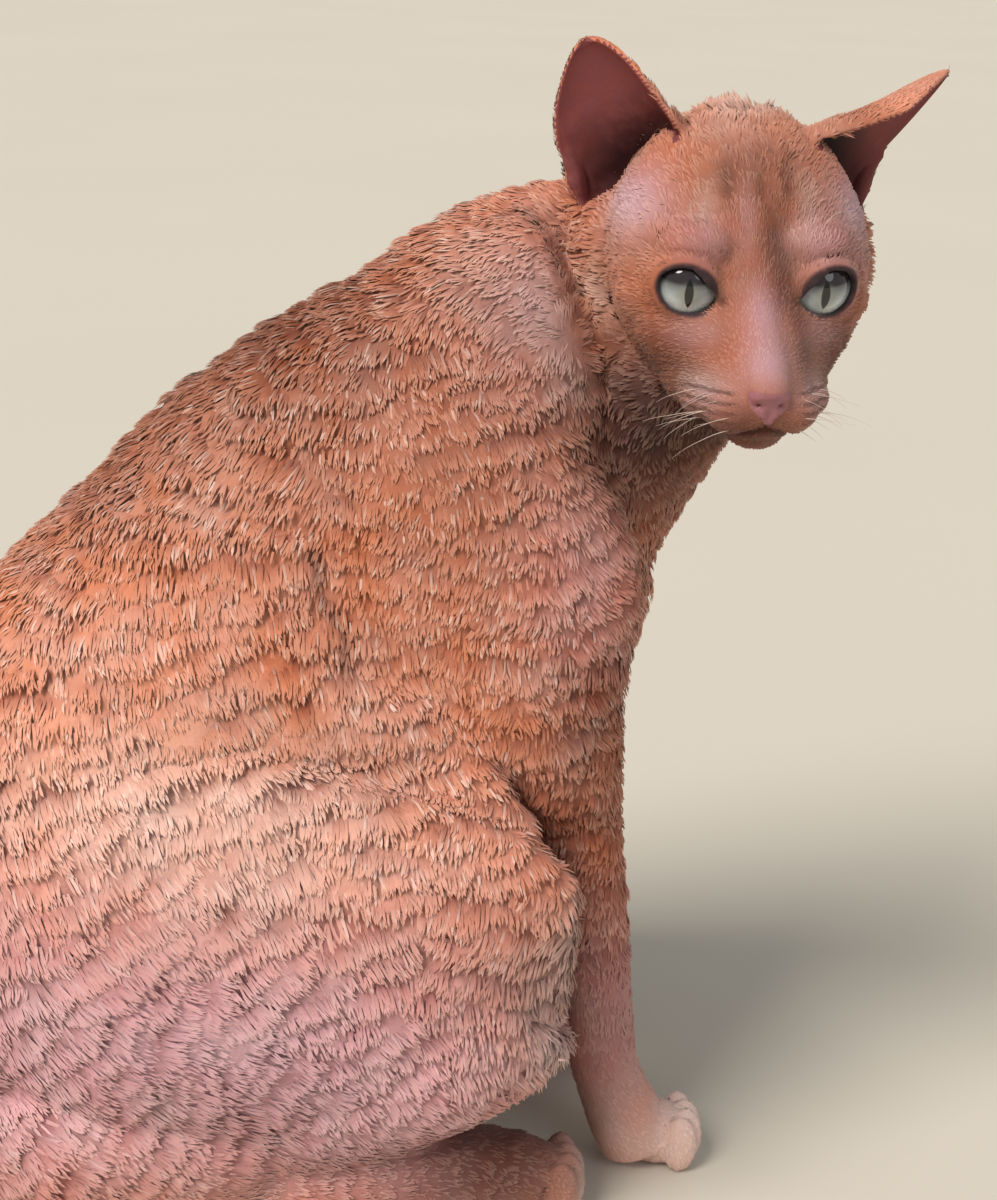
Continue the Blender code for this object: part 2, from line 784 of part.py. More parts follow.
def ear(name, inner, outer, tip, twist):
    """A cupped shell with a rounded tip, whose root is sunk into the head."""
    inner, outer, tip = (Vector((l, -f, u)) for l, f, u in (inner, outer, tip))
    middle = (inner + outer) / 2
    side = (outer - inner) / 2
    rise = tip - middle
    back = side.cross(rise).normalized()
    if back.y < 0:
        back.negate()
    bm = bmesh.new()
    grid = bmesh.ops.create_grid(bm, x_segments=EAR_COLUMNS, y_segments=EAR_ROWS, size=1.0)
    level = side - rise * side.dot(rise) / rise.length_squared
    for vert in grid["verts"]:
        s, v = vert.co.x, (vert.co.y + 1) / 2 * (1 + EAR_SUNK) - EAR_SUNK
        high = max(v, 0.0)
        swell = EAR_SWELL[s < 0] * math.sin(math.pi * high)
        width = (1 - high**2.1) ** 0.66 * (1 + swell) + 0.03
        wrap = math.radians(105 - 60 * high)
        depth = EAR_DEPTH * (1 - high) ** 0.7
        angle = s * wrap
        across = side.lerp(level * side.length / level.length, min(1.0, high * 1.6))
        turn = Matrix.Rotation(twist * min(1.0, high * 1.8), 3, rise)
        across = turn @ across
        bulge = (math.cos(angle) - math.cos(wrap)) / (1 - math.cos(wrap))
        place = middle + rise * v + across * width * math.sin(angle) / math.sin(min(wrap, math.pi / 2))
        vert.co = (place + turn @ back * (depth * bulge + 3.0 * high * high)) * MM
    bmesh.ops.recalc_face_normals(bm, faces=bm.faces)
    obj = new_object(name, bm)
    wall = obj.modifiers.new("Wall", "SOLIDIFY")
    wall.thickness = EAR_WALL * MM
    wall.offset = 0.0
    apply_modifiers(obj)
    obj.data.transform(head_frame())
    return obj


def ear_room(ear_node):
    """The rounded room that an ear and its cup take, to keep the neck clear of it."""
    bm = bmesh.new()
    bm.from_mesh(ear_node.data)
    hull = bmesh.ops.convex_hull(bm, input=bm.verts)
    kept = {face for face in hull["geom"] if isinstance(face, bmesh.types.BMFace)}
    bmesh.ops.delete(bm, geom=[face for face in bm.faces if face not in kept], context="FACES")
    bmesh.ops.delete(bm, geom=[vert for vert in bm.verts if not vert.link_faces], context="VERTS")
    bmesh.ops.recalc_face_normals(bm, faces=bm.faces)
    hull_form = new_object("ear_room", bm)
    room = grown(hull_form, GAP * 1.5)
    remove(hull_form)
    return room


def on_surface(tree, points):
    """The nearest places on the head to the points, all in its own space."""
    spots = [Vector((left, -forward, up)) * MM for left, forward, up in points]
    return [tree.find_nearest(spot)[0] for spot in spots]


def cord_through(name, points, radius, closed=False):
    """A thin tube through the points, closed at its ends or in a ring."""
    curve = bpy.data.curves.new(name, "CURVE")
    curve.dimensions = "3D"
    curve.bevel_depth = radius * MM
    curve.bevel_resolution = 1 if closed else 0
    curve.use_fill_caps = not closed
    spline = curve.splines.new("POLY")
    spline.points.add(len(points) - 1)
    for number, point in enumerate(points):
        spline.points[number].co = (*point, 1.0)
    spline.use_cyclic_u = closed
    drawn = bpy.data.objects.new(name, curve)
    bpy.context.scene.collection.objects.link(drawn)
    graph = bpy.context.evaluated_depsgraph_get()
    mesh = bpy.data.meshes.new_from_object(drawn.evaluated_get(graph))
    bpy.data.objects.remove(drawn)
    bpy.data.curves.remove(curve)
    obj = bpy.data.objects.new(name, mesh)
    bpy.context.scene.collection.objects.link(obj)
    bm = bmesh.new()
    bm.from_mesh(mesh)
    bmesh.ops.remove_doubles(bm, verts=bm.verts, dist=1e-6)
    bmesh.ops.recalc_face_normals(bm, faces=bm.faces)
    bm.to_mesh(mesh)
    bm.free()
    return obj


def lid_opening(side):
    """A flared oval plug that opens the lids in front of one eyeball, its outer corner raised."""
    across, tall = LID_OPENING
    centre = Vector((side * EYE_PLACE[0], -EYE_PLACE[1], EYE_PLACE[2])) * MM
    gaze = Matrix.Rotation(side * EYE_OUTWARD, 4, "Z") @ Matrix.Rotation(-side * LID_SLANT, 4, "Y")
    matrices = []
    for ahead, size in ((0.0, 0.8), (0.62, 0.97), (1.0, 1.06), (2.0, LID_FLARE * 1.3)):
        reach = ahead * EYE_RADIUS * MM
        spot = centre + gaze.to_3x3() @ Vector((0, -reach, 0))
        wide = gaze.to_3x3() @ Vector((across * size * MM, 0, 0))
        high = gaze.to_3x3() @ Vector((0, 0, tall * size * MM))
        matrices.append(ring_matrix(spot, wide, high))
    bm = bmesh.new()
    bridged_rings(bm, matrices, LID_STEPS)
    return new_object("lid_opening", bm)


def skull(name, inset):
    """The long form of the head: oval sections, widest at the cheekbones."""
    matrices = []
    steps = 2
    for number in range((len(HEAD_SECTIONS) - 1) * steps + 1):
        forward, width, top, bottom = (
            along([section[i] for section in HEAD_SECTIONS], number / steps) for i in range(4)
        )
        centre = Vector((0, -forward, (top + bottom) / 2)) * MM
        across = Vector((max(width - inset, 1.0) * MM, 0, 0))
        matrices.append(ring_matrix(centre, across, Vector((0, 0, ((top - bottom) / 2 - inset) * MM))))
    bm = bmesh.new()
    bridged_rings(bm, matrices)
    return new_object(name, bm)


def head_form(inset, voxel, smoothing, faces):
    """The head in its own space, before lids, mouth and nostrils."""
    pieces = [skull("skull", inset)]
    pieces += [ball("chin", place, radii, inset) for place, radii in HEAD_BALLS]
    for (left, forward, up), radii in HEAD_PAIRS:
        for side in (-1, 1):
            pieces.append(ball("cheek", (side * left, forward, up), radii, inset))
    for side in (-1, 1):
        place = (side * EYE_PLACE[0], EYE_PLACE[1], EYE_PLACE[2])
        pieces.append(ball("lids", place, (EYE_RADIUS + LID_COVER,) * 3))
    pieces.append(tube("nose", NOSE_BRIDGE, inset * 0.5, 3))
    return blend("head", pieces, voxel, smoothing, faces)


def eyeball(name, side, growth=0.0):
    place = (side * EYE_PLACE[0], EYE_PLACE[1], EYE_PLACE[2])
    made = ball(name, place, (EYE_RADIUS + growth,) * 3, 0, EYE_SEGMENTS)
    made.data.transform(head_frame())
    return made


def head():
    """The head with lids, mouth and nostrils, and its plain form for cutting its neighbours."""
    form = head_form(0, VOXEL_HEAD, 6, FACES_HEAD)
    plain = copy_of(form, "head_plain")
    plain.data.transform(head_frame())
    tree = BVHTree.FromObject(form, bpy.context.evaluated_depsgraph_get())
    for side in (-1, 1):
        opening = lid_opening(side)
        boolean(form, opening, "DIFFERENCE")
        remove(opening)
    mouth = [*MOUTH_LINE, *[(-left, forward, up) for left, forward, up in MOUTH_LINE[-2::-1]]]
    for line in (mouth, PHILTRUM):
        groove = cord_through("groove", on_surface(tree, line), MOUTH_WIDTH)
        boolean(form, groove, "DIFFERENCE")
        remove(groove)
    for side in (-1, 1):
        nostril = ball("nostril", (side * 3.1, 23.5, -27.6), (1.5, 4.0, 1.2), 0, 8)
        boolean(form, nostril, "DIFFERENCE")
        remove(nostril)
    form.data.transform(head_frame())
    for side in (-1, 1):
        socket = eyeball("socket", side, EYE_ROOM)
        boolean(form, socket, "DIFFERENCE")
        remove(socket)
    keep_largest(form)
    return form, plain


def box(name, lefts, forwards, ups):
    bm = bmesh.new()
    bmesh.ops.create_cube(bm, size=1.0)
    one, two = (at((lefts[i], forwards[i], ups[i])) for i in (0, 1))
    size = Vector([abs(two[i] - one[i]) for i in range(3)])
    bmesh.ops.scale(bm, vec=size, verts=bm.verts)
    bmesh.ops.translate(bm, vec=(one + two) / 2, verts=bm.verts)
    return new_object(name, bm)


def cut(obj, cutter, operation="DIFFERENCE"):
    boolean(obj, cutter, operation)
    remove(cutter)
    keep_largest(obj)


def cell(stations, growth):
    """A plain closed form that parts a leg from the trunk."""
    room = [(place, width + growth, depth + growth) for place, width, depth in stations]
    return tube("cell", room, 0.0, 1, segments=12)


def left_fore_cell():
    shifted = []
    for (left, forward, up), width, depth in FORE_CELL:
        place = Vector((-left, forward, up)) + LEFT_FOOT_SHIFT * min(max(170 - up, 0) / 86, 1.0)
        shifted.append((tuple(place), width, depth))
    return shifted


def part_body(whole):
    """Divides the whole body into its trunk, neck and legs, with thin gaps between them."""
    cells = {
        "foreleg_right": FORE_CELL,
        "foreleg_left": left_fore_cell(),
        "hindleg_right": HIND_CELL,
        "hindleg_left": mirrored(HIND_CELL),
    }
    point, way = NECK_PLANE
    normal = Vector((way[0], -way[1], way[2])).normalized()
    neck = copy_of(whole, "neck")
    trim(neck, at(point) + normal * GAP / 2, -normal)
    torso = copy_of(whole, "torso")
    trim(torso, at(point) - normal * GAP / 2, normal)
    nodes = {"neck": neck, "torso": torso}
    for name, stations in cells.items():
        leg = copy_of(whole, name)
        cut(leg, cell(stations, 0.0), "INTERSECT")
        cut(torso, cell(stations, GAP / MM))
        if name.startswith("hindleg"):
            fore = cells[name.replace("hindleg", "foreleg")]
            cut(leg, cell(fore, GAP / MM))
        if name.startswith("foreleg"):
            trim(leg, at((0, 0, WRIST_UP)) + Vector((0, 0, GAP / 2)), Vector((0, 0, -1)))
        else:
            lefts, forwards, ups = FOOT_ROOM
            if name.endswith("left"):
                lefts = (-lefts[0], -lefts[1])
            cut(leg, box("foot_room", lefts, forwards, ups))
        nodes[name] = leg
    tail_room = [(place, width + 5, depth + 5) for place, width, depth in TAIL]
    cut(torso, tube("tail_room", tail_room, first=TAIL_PARTS[0][1], final=TAIL_STUB + 0.4))
    remove(whole)
    return nodes


def tail():
    nodes = {}
    for name, first, final in TAIL_PARTS:
        gap = 0.012
        made = tube(name, TAIL, 0.0, 3, first + gap, final, 12)
        rest_on_floor(made)
        nodes[name] = made
    return nodes


def stand_on_origin(nodes):
    """Moves all so that the bottom centre of the whole model is the origin."""
    corners = [vert.co for node in nodes for vert in node.data.vertices]
    low = Vector([min(c[i] for c in corners) for i in range(3)])
    high = Vector([max(c[i] for c in corners) for i in range(3)])
    middle = (low + high) / 2
    for node in nodes:
        node.data.transform(Matrix.Translation((-middle.x, -middle.y, -low.z)))


def main():
    for obj in list(bpy.data.objects):
        bpy.data.objects.remove(obj)
    coat = material("salmon_red_curled_coat", (0.55, 0.24, 0.12), 0.75)
    short = material("short_pale_red_fur", (0.62, 0.34, 0.22), 0.7)
    cream = material("cream_paw_fur", (0.78, 0.62, 0.48), 0.7)
    skin = material("bare_ear_skin", (0.45, 0.20, 0.17), 0.5)
    iris = material("grey_green_eye", (0.35, 0.42, 0.34), 0.08)
    whole = curled(body_core(CORE_INSET, CORE_INSET_LEG))
    rest_on_floor(whole)
    nodes = part_body(whole)
    nodes.update(tail())
    looks = {name: coat for name in nodes}
    nodes["head"], plain = head()
    looks["head"] = short
    cut(nodes["neck"], grown(plain, GAP * 1.3))
    for name, points in EARS.items():
        nodes[name] = ear(name, *points)
        cut(nodes[name], grown(plain, GAP * 1.3))
        cut(nodes["neck"], ear_room(nodes[name]))
        looks[name] = skin
    remove(plain)
    for name, foot in (("forepaw_right", (-34, 178, 22)), ("forepaw_left", (26, 163, 22))):
        nodes[name] = forepaw(name, foot, FACES_FOREPAW)
        looks[name] = cream
    for name, side in (("hindpaw_right", -1), ("hindpaw_left", 1)):
        nodes[name] = hindpaw(name, side, FACES_HINDPAW)
        looks[name] = cream
    for name, side in (("eye_right", -1), ("eye_left", 1)):
        nodes[name] = eyeball(name, side)
        looks[name] = iris
    for name, node in nodes.items():
        finish(node, name, looks[name])
    stand_on_origin(list(nodes.values()))


if __name__ == "__main__":
    main()
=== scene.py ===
"""The looks of a seated, life-size Devon rex cat: skin, waved coat, short fur, eyes and whiskers.

Design places are (left, forward, up) in millimetres, as in the construction. Arrays hold the same
places on Blender's axes, (left, -forward, up), in millimetres too. Each finished mesh is moved at
the end from the design origin to the frame's.
"""

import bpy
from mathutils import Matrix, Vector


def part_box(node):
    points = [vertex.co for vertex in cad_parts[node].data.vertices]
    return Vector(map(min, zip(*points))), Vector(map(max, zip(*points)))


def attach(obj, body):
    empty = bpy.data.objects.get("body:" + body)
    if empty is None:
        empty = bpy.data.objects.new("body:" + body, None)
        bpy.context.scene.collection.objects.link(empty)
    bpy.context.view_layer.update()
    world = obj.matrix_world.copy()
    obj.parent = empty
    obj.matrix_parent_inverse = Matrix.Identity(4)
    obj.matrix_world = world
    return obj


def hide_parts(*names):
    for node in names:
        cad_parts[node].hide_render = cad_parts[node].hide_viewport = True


bl_info = {
    "name": "Seated Devon Rex Cat",
    "version": (1, 0, 0),
    "blender": (4, 5, 0),
    "location": "View3D > Sidebar > Cat",
    "description": "Models the skin, coat and eyes of a seated cat around its packed solids",
    "category": "Add Mesh",
}

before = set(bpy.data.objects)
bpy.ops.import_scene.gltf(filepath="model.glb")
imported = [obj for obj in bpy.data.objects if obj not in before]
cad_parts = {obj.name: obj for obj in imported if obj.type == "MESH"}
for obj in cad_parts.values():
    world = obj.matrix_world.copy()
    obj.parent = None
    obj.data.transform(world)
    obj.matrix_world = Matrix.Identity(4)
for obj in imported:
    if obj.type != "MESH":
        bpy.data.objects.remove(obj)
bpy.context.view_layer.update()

import math

import bmesh
import bpy
import numpy as np
from mathutils import Matrix, Vector
from mathutils.bvhtree import BVHTree

MM = 0.001
RING = 24
# Rings of a tube for each stretch between two of its places.
STEPS = 4
TRIANGLE_LIMIT = 200000

# The photo's camera: focal length and picture height in pixels, place in metres, and its angles.
FOCAL_PIXELS = 1880
PHOTO_HEIGHT = 1200
SENSOR = 36.0
CAMERA_PLACE = (-0.555, -0.086, 0.390)
CAMERA_TURN = math.radians(5.2)
CAMERA_PITCH = math.radians(20.1)
CAMERA_ROLL = math.radians(2.02)

# The trunk and neck: top (forward, up), bottom (forward, up), half width, all over the coat.
TRUNK = [
    ((-95, 60), (-72, 2), 32),
    ((-92, 96), (-47, -7), 54),
    ((-78, 133), (-8, -6), 66),
    ((-53, 167), (26, 8), 70),
    ((-19, 199), (60, 30), 70),
    ((11, 228), (96, 58), 66),
    ((36, 253), (128, 92), 60),
    ((70, 280), (158, 134), 53),
    ((113, 303), (182, 172), 46),
    ((137, 312), (184, 205), 36),
    ((146, 302), (187, 222), 26),
]
NECK = [
    ((2, 134, 250), 36, 50),
    ((2, 155, 258), 32, 42),
    ((-2, 177, 268), 28, 32),
    ((-8, 196, 280), 24, 26),
]
NAPE = [
    ((2, 92, 262), 16, 18),
    ((6, 116, 280), 21, 23),
    ((11, 138, 290), 20, 24),
    ((14, 160, 297), 17, 22),
    ((11, 182, 299), 13, 17),
]
THROAT = [
    ((0, 153, 206), 30, 32),
    ((-8, 169, 236), 27, 29),
    ((-18, 186, 262), 24, 25),
    ((-24, 198, 276), 18, 20),
]

# Tubes: (left, forward, up), half width across, half depth, for the cat's right side.
SHOULDER = [
    ((-20, 100, 262), 12, 18),
    ((-33, 110, 244), 17, 34),
    ((-38, 124, 222), 20, 43),
    ((-41, 135, 198), 20, 44),
    ((-43, 143, 174), 18, 34),
    ((-44, 152, 150), 14, 21),
]
FORELEG = [
    ((-43, 148, 170), 16, 23),
    ((-43, 155, 148), 13.5, 18),
    ((-40, 160, 132), 12, 13.5),
    ((-37, 165, 104), 10.8, 12.3),
    ((-35, 168, 80), 10.4, 12),
    ((-34, 171, 58), 10.4, 11.6),
    ((-34, 174, 40), 11, 11.3),
    ((-34, 178, 22), 11.5, 12),
]
THIGH = [
    ((-40, -14, 78), 26, 62),
    ((-47, 14, 84), 32, 75),
    ((-51, 44, 87), 31, 77),
    ((-55, 80, 88), 29, 73),
    ((-61, 108, 95), 25, 62),
    ((-67, 133, 101), 18, 45),
    ((-70, 154, 99), 12, 27),
]
FLANK_FOLD = [
    ((-44, 84, 142), 16, 38),
    ((-52, 108, 136), 14, 33),
    ((-58, 126, 128), 12, 27),
    ((-64, 138, 118), 9, 18),
]
FLANK_FILL = [
    ((-46, 50, 178), 13, 18),
    ((-48, 78, 172), 13, 19),
    ((-50, 104, 162), 13, 18),
    ((-52, 126, 148), 10, 13),
]
BREECH = [
    ((-40, -44, 24), 18, 18),
    ((-48, -22, 25), 24, 26),
    ((-54, 10, 25), 25, 27),
    ((-58, 44, 24), 20, 24),
    ((-60, 64, 24), 14, 16),
]
SHANK = [
    ((-67, 141, 84), 15, 24),
    ((-65, 118, 62), 17, 26),
    ((-60, 88, 44), 16, 25),
    ((-56, 56, 29), 13, 18),
    ((-55, 36, 18), 11, 15),
]
INSTEP = [
    ((-55, 34, 17), 11, 14),
    ((-57, 58, 12.5), 10.5, 12.5),
    ((-58, 95, 13), 12, 13.5),
    ((-58, 124, 15), 14, 15.5),
    ((-58, 140, 14), 14, 14),
]
TAIL = [
    ((0, -66, 36), 15, 15),
    ((0, -88, 24), 14, 14),
    ((6, -106, 13.5), 12.5, 12.5),
    ((28, -124, 11.2), 11.5, 11.5),
    ((60, -124, 10.4), 10.7, 10.7),
    ((90, -106, 9.9), 10.2, 10.2),
    ((108, -76, 9.2), 9.5, 9.5),
    ((114, -42, 8.4), 8.7, 8.7),
    ((111, -8, 7.4), 7.7, 7.7),
    ((101, 20, 6), 6.3, 6.3),
    ((92, 36, 4.2), 4.5, 4.5),
]
# The left foreleg stands a little behind the right one, so the camera's side hides it.
LEFT_FOOT_SHIFT = Vector((-8, -15, 0))
FORE_FEET = [(-34, 178), (26, 163)]

# The head, in its own space: (left, forward, up) from the point between the eyes.
HEAD_PLACE = (-50, 201, 297)
HEAD_TURN = math.radians(87.8)
HEAD_NOD = math.radians(6.4)
# Sections of the head from back to front: forward, half width, top, bottom.
HEAD_SECTIONS = [
    (-73, 7, 12, -6),
    (-69, 19, 22, -18),
    (-60, 29, 32, -27),
    (-48, 35, 38, -33),
    (-34, 38, 39, -37),
    (-21, 37, 31, -39),
    (-12, 33, 20, -40),
    (-5, 27, 8, -41),
    (2, 20, -3, -42),
    (9, 16, -10, -42),
    (15, 12.5, -16, -41),
    (19.5, 9, -21, -38),
    (22.5, 3.5, -25, -33),
]
HEAD_PAIRS = [
    ((24, -20, -9), (13, 14, 11)),
    ((22, -43, -12), (15, 22, 19)),
    ((7.6, 13.5, -31), (9.2, 9, 7.4)),
    ((13.5, 5, -30.5), (8.5, 10, 6.5)),
    ((16, -11, 7), (12, 9, 8)),
    ((14, -12, -29), (11, 20, 9)),
]
HEAD_BALLS = [
    ((0, 9, -39.5), (9, 8, 5.5)),
    ((0, -4, -34), (14, 16, 9)),
]
NOSE_BRIDGE = [
    ((0, -13, 3), 9, 8),
    ((0, -5, -5), 8, 7),
    ((0, 4, -13), 7.6, 6.6),
    ((0, 13, -19.5), 7.2, 6.2),
    ((0, 19.5, -24), 6.4, 5.2),
    ((0, 22, -26.5), 5, 3.8),
]
EYE_RADIUS = 10.2
EYE_PLACE = (18.3, -10.6, -2.6)
EYE_OUTWARD = math.radians(12)
LID_COVER = 2.2
LID_OPENING = (8.1, 6.8)
LID_SLANT = math.radians(14)
MOUTH_LINE = [(-18, -1, -34), (-15, 8, -36.5), (-8, 16, -37.5), (0, 22, -35)]
PHILTRUM = [(0, 23, -29), (0, 24, -32), (0, 22, -35.5)]
# Soft swells on both sides of the face: place, radii and height of brow, whisker pad and fold.
FACE_SWELLS = [
    ((17, -9, 9), (9, 7, 3.5), 1.3),
    ((9, 15, -31), (5, 7, 4.5), 0.8),
    ((12.5, 4, -19), (4, 7, 3), -0.7),
]

# Ears in the head's space: inner and outer end of the root, tip, and how far the cup turns back.
EARS = {
    "ear_right": ((-18, -30, 31), (-39, -50, 2), (-46.5, -51, 54), 0),
    "ear_left": ((18, -30, 31), (40, -50, 2), (65.5, -52, 45.5), math.radians(34)),
}
EAR_WALL = 1.5
EAR_DEPTH = 15.0
# How deep the root is sunk into the head, in ear lengths, and how far each edge swells or draws in.
EAR_SUNK = 0.34
EAR_SWELL = (0.16, -0.12)
EAR_GRID = 40
# The small fold at the outer edge: its place across, its span along the ear, and its half widths.
POUCH_ACROSS = 0.82
POUCH_SPAN = (0.18, 0.36)
POUCH_RADII = (3.0, 3.2)

# The lie of the coat: a place on the cat's right side or middle, and the way the hair points there.
LIE = [
    ((-50, 59, 240), (-0.2, -0.45, -0.89)),
    ((-45, 72, 253), (-0.2, -0.14, -0.99)),
    ((-60, 24, 220), (-0.1, 0.08, -1.0)),
    ((-66, 43, 192), (0.0, 0.35, -0.93)),
    ((-64, 0, 193), (-0.1, 0.3, -0.95)),
    ((-45, 107, 256), (-0.2, 0.4, -0.9)),
    ((-60, 112, 206), (0.0, -0.32, -0.95)),
    ((-62, 95, 193), (0.0, 0.14, -0.99)),
    ((-30, 165, 196), (0.2, 0.45, -0.9)),
    ((-78, 54, 108), (0.0, 0.65, -0.76)),
    ((-78, 76, 118), (0.0, 0.23, -0.97)),
    ((-76, 91, 143), (0.0, 0.15, -0.98)),
    ((-78, 45, 76), (0.0, 0.95, -0.3)),
    ((-82, 85, 100), (0.0, 0.57, -0.82)),
    ((-76, 118, 110), (0.0, -0.2, -0.98)),
    ((-70, 148, 99), (0.0, -0.39, -0.92)),
    ((-70, 3, 129), (0.0, 0.6, -0.8)),
    ((-60, -30, 110), (-0.1, 0.2, -0.95)),
    ((-60, 20, 40), (0.0, 0.8, -0.5)),
    ((-62, 90, 50), (0.0, 0.8, -0.5)),
    ((0, 113, 303), (0.0, -0.8, -0.5)),
    ((0, 39, 251), (0.0, -0.75, -0.65)),
    ((0, -30, 190), (0.0, -0.65, -0.75)),
    ((0, -80, 110), (0.0, -0.3, -0.95)),
    ((-20, 135, 300), (-0.3, -0.7, -0.5)),
    ((-34, 150, 245), (-0.1, 0.1, -1.0)),
    ((0, 184, 240), (0.0, 0.3, -0.95)),
    ((0, 182, 190), (0.0, 0.1, -1.0)),
    ((0, 168, 150), (0.0, -0.2, -0.95)),
    ((-40, 160, 140), (0.0, 0.1, -1.0)),
    ((-37, 165, 100), (0.0, 0.1, -1.0)),
    ((-34, 172, 60), (0.0, 0.1, -1.0)),
    ((-34, 190, 25), (0.0, 0.7, -0.7)),
    ((-34, 202, 12), (0.0, 0.6, -0.8)),
    ((-58, 58, 12), (0.0, 1.0, 0.0)),
    ((-58, 110, 14), (0.0, 1.0, 0.0)),
    ((-58, 160, 12), (0.0, 0.9, -0.4)),
]
# The same in the head's space.
HEAD_LIE = [
    ((0, 21, -21), (0, -0.6, 0.8)),
    ((0, 5, -8), (0, -0.7, 0.7)),
    ((0, -12, 10), (0, -0.5, 0.85)),
    ((-10, -25, 30), (-0.15, -0.8, 0.5)),
    ((0, -50, 38), (0, -1, -0.1)),
    ((-18, -14, 12), (-0.4, -0.6, 0.6)),
    ((-30, -30, 20), (-0.6, -0.7, 0.1)),
    ((-28, -20, -12), (-0.4, -0.85, -0.25)),
    ((-17, 0, -16), (-0.6, -0.6, -0.2)),
    ((-34, -45, -15), (-0.2, -0.9, -0.5)),
    ((-9, 14, -30), (-0.8, -0.5, -0.3)),
    ((0, 10, -43), (0, -0.8, -0.5)),
    ((-15, -15, -38), (-0.2, -0.8, -0.55)),
]

# The coat's style: place, then wave height, wave pitch, crest length, turn of the crests in
# degrees, tuft length, tuft width, and how far the tips of the tufts lift.
BODY_STYLE = [
    ((0, 39, 251), (3.2, 9.5, 48, 8, 11, 0.95, 1.2)),
    ((0, -30, 190), (3.0, 9.5, 50, 8, 11, 0.95, 1.0)),
    ((0, -80, 110), (2.3, 9.5, 46, 9, 11, 1.0, 0.6)),
    ((-50, 59, 240), (3.3, 9, 46, 8, 10.5, 0.9, 0.55)),
    ((-64, 20, 200), (3.0, 9, 54, 8, 10.5, 0.9, 0.55)),
    ((-68, -20, 150), (2.4, 9, 50, 8, 11, 0.95, 0.55)),
    ((-66, 70, 170), (2.2, 9, 40, 10, 10, 0.9, 0.5)),
    ((-48, 107, 250), (0.9, 6.5, 26, 12, 8.5, 0.85, 0.35)),
    ((-60, 112, 206), (1.1, 6.5, 26, 14, 8.5, 0.85, 0.4)),
    ((0, 113, 303), (1.7, 8, 26, 16, 9, 0.9, 1.1)),
    ((-34, 150, 245), (1.9, 7, 16, 32, 7.5, 0.85, 0.7)),
    ((-45, 150, 190), (1.8, 7, 16, 32, 7.5, 0.85, 0.7)),
    ((0, 184, 240), (1.9, 7, 14, 36, 7.5, 0.85, 0.8)),
    ((0, 182, 190), (1.9, 7, 14, 36, 7.5, 0.85, 0.8)),
    ((0, 120, 100), (0.8, 7, 14, 30, 7, 1.1, 0.6)),
    ((-78, 30, 100), (2.1, 9.5, 54, 8, 11, 0.95, 0.5)),
    ((-80, 76, 118), (2.1, 9.5, 50, 8, 11, 0.95, 0.5)),
    ((-76, 118, 110), (1.9, 8.5, 26, 20, 9, 0.9, 0.7)),
    ((-76, 152, 100), (2.2, 8, 14, 28, 9, 1.0, 2.0)),
    ((-74, 150, 74), (2.2, 8, 14, 28, 9, 1.0, 2.2)),
    ((-60, -20, 50), (1.8, 9.5, 34, 12, 10, 1.0, 0.6)),
    ((-70, 50, 50), (1.7, 9, 30, 14, 9, 0.95, 0.6)),
    ((-62, 90, 45), (1.0, 7, 14, 22, 6.5, 0.95, 0.5)),
    ((-58, 60, 14), (0.5, 6, 10, 22, 5, 0.85, 0.35)),
    ((-58, 120, 16), (0.15, 6, 10, 20, 4, 0.75, 0.25)),
    ((-58, 160, 14), (0.0, 6, 10, 20, 3.0, 0.7, 0.2)),
    ((-42, 158, 146), (1.3, 6.5, 13, 24, 6, 0.9, 0.6)),
    ((-38, 165, 110), (0.9, 6, 12, 22, 5, 0.85, 0.45)),
    ((-34, 171, 60), (0.25, 6, 10, 20, 4, 0.75, 0.25)),
    ((-34, 185, 25), (0.0, 6, 10, 20, 3, 0.65, 0.2)),
    ((-34, 202, 10), (0.0, 6, 10, 20, 2.8, 0.62, 0.2)),
]
TAIL_STYLE = (1.0, 7, 12, 22, 6.5, 1.1, 0.5)
HEAD_STYLE = [
    ((0, 21, -23), (0.0, 6, 8, 10, 1.0, 0.4, 0.05)),
    ((0, 5, -8), (0.0, 6, 8, 10, 1.7, 0.45, 0.1)),
    ((0, -14, 12), (0.15, 6, 8, 15, 2.8, 0.5, 0.25)),
    ((-8, -28, 32), (0.6, 5.5, 9, 30, 4.2, 0.65, 0.5)),
    ((0, -48, 39), (2.2, 6.5, 9, 40, 9, 1.0, 3.2)),
    ((-20, -56, 28), (1.6, 6.5, 9, 38, 7, 1.0, 1.2)),
    ((-28, -30, 22), (0.15, 6, 8, 15, 3.0, 0.55, 0.25)),
    ((-28, -20, -12), (0.5, 5.5, 8, 30, 4.2, 0.6, 0.5)),
    ((-33, -42, -18), (1.5, 6, 10, 36, 7.5, 0.8, 1.0)),
    ((-40, -48, -4), (1.5, 6, 10, 36, 8, 0.85, 1.2)),
    ((-17, 0, -16), (0.1, 6, 8, 10, 2.3, 0.45, 0.15)),
    ((-10, 13, -31), (0.0, 6, 8, 10, 1.8, 0.42, 0.15)),
    ((0, 8, -43), (0.1, 6, 8, 20, 2.2, 0.45, 0.3)),
    ((-12, -14, -40), (0.8, 6, 9, 34, 5.5, 0.75, 0.8)),
]
EAR_STYLE = (0.0, 6, 8, 10, 2.1, 0.5, 0.06)
# Tuft lengths, and the cover wanted at each against the coat's.
COVER_BY_LENGTH = ((1.5, 3.0, 5.0, 8.0, 11.0), (0.35, 0.42, 0.6, 1.0, 1.25))
# Width of the tufts against the styles', where they end on a wave in pitches, and the length from
# which they have one more ring.
TUFT_WIDTH = 0.94
TUFT_END = 0.43
LONG_TUFT = 7.5
# Side of each tuft's patch on the map, as a share of it.
PATCH = 0.003
TONES = ("rust", "umber", "cream", "lilac", "rim")
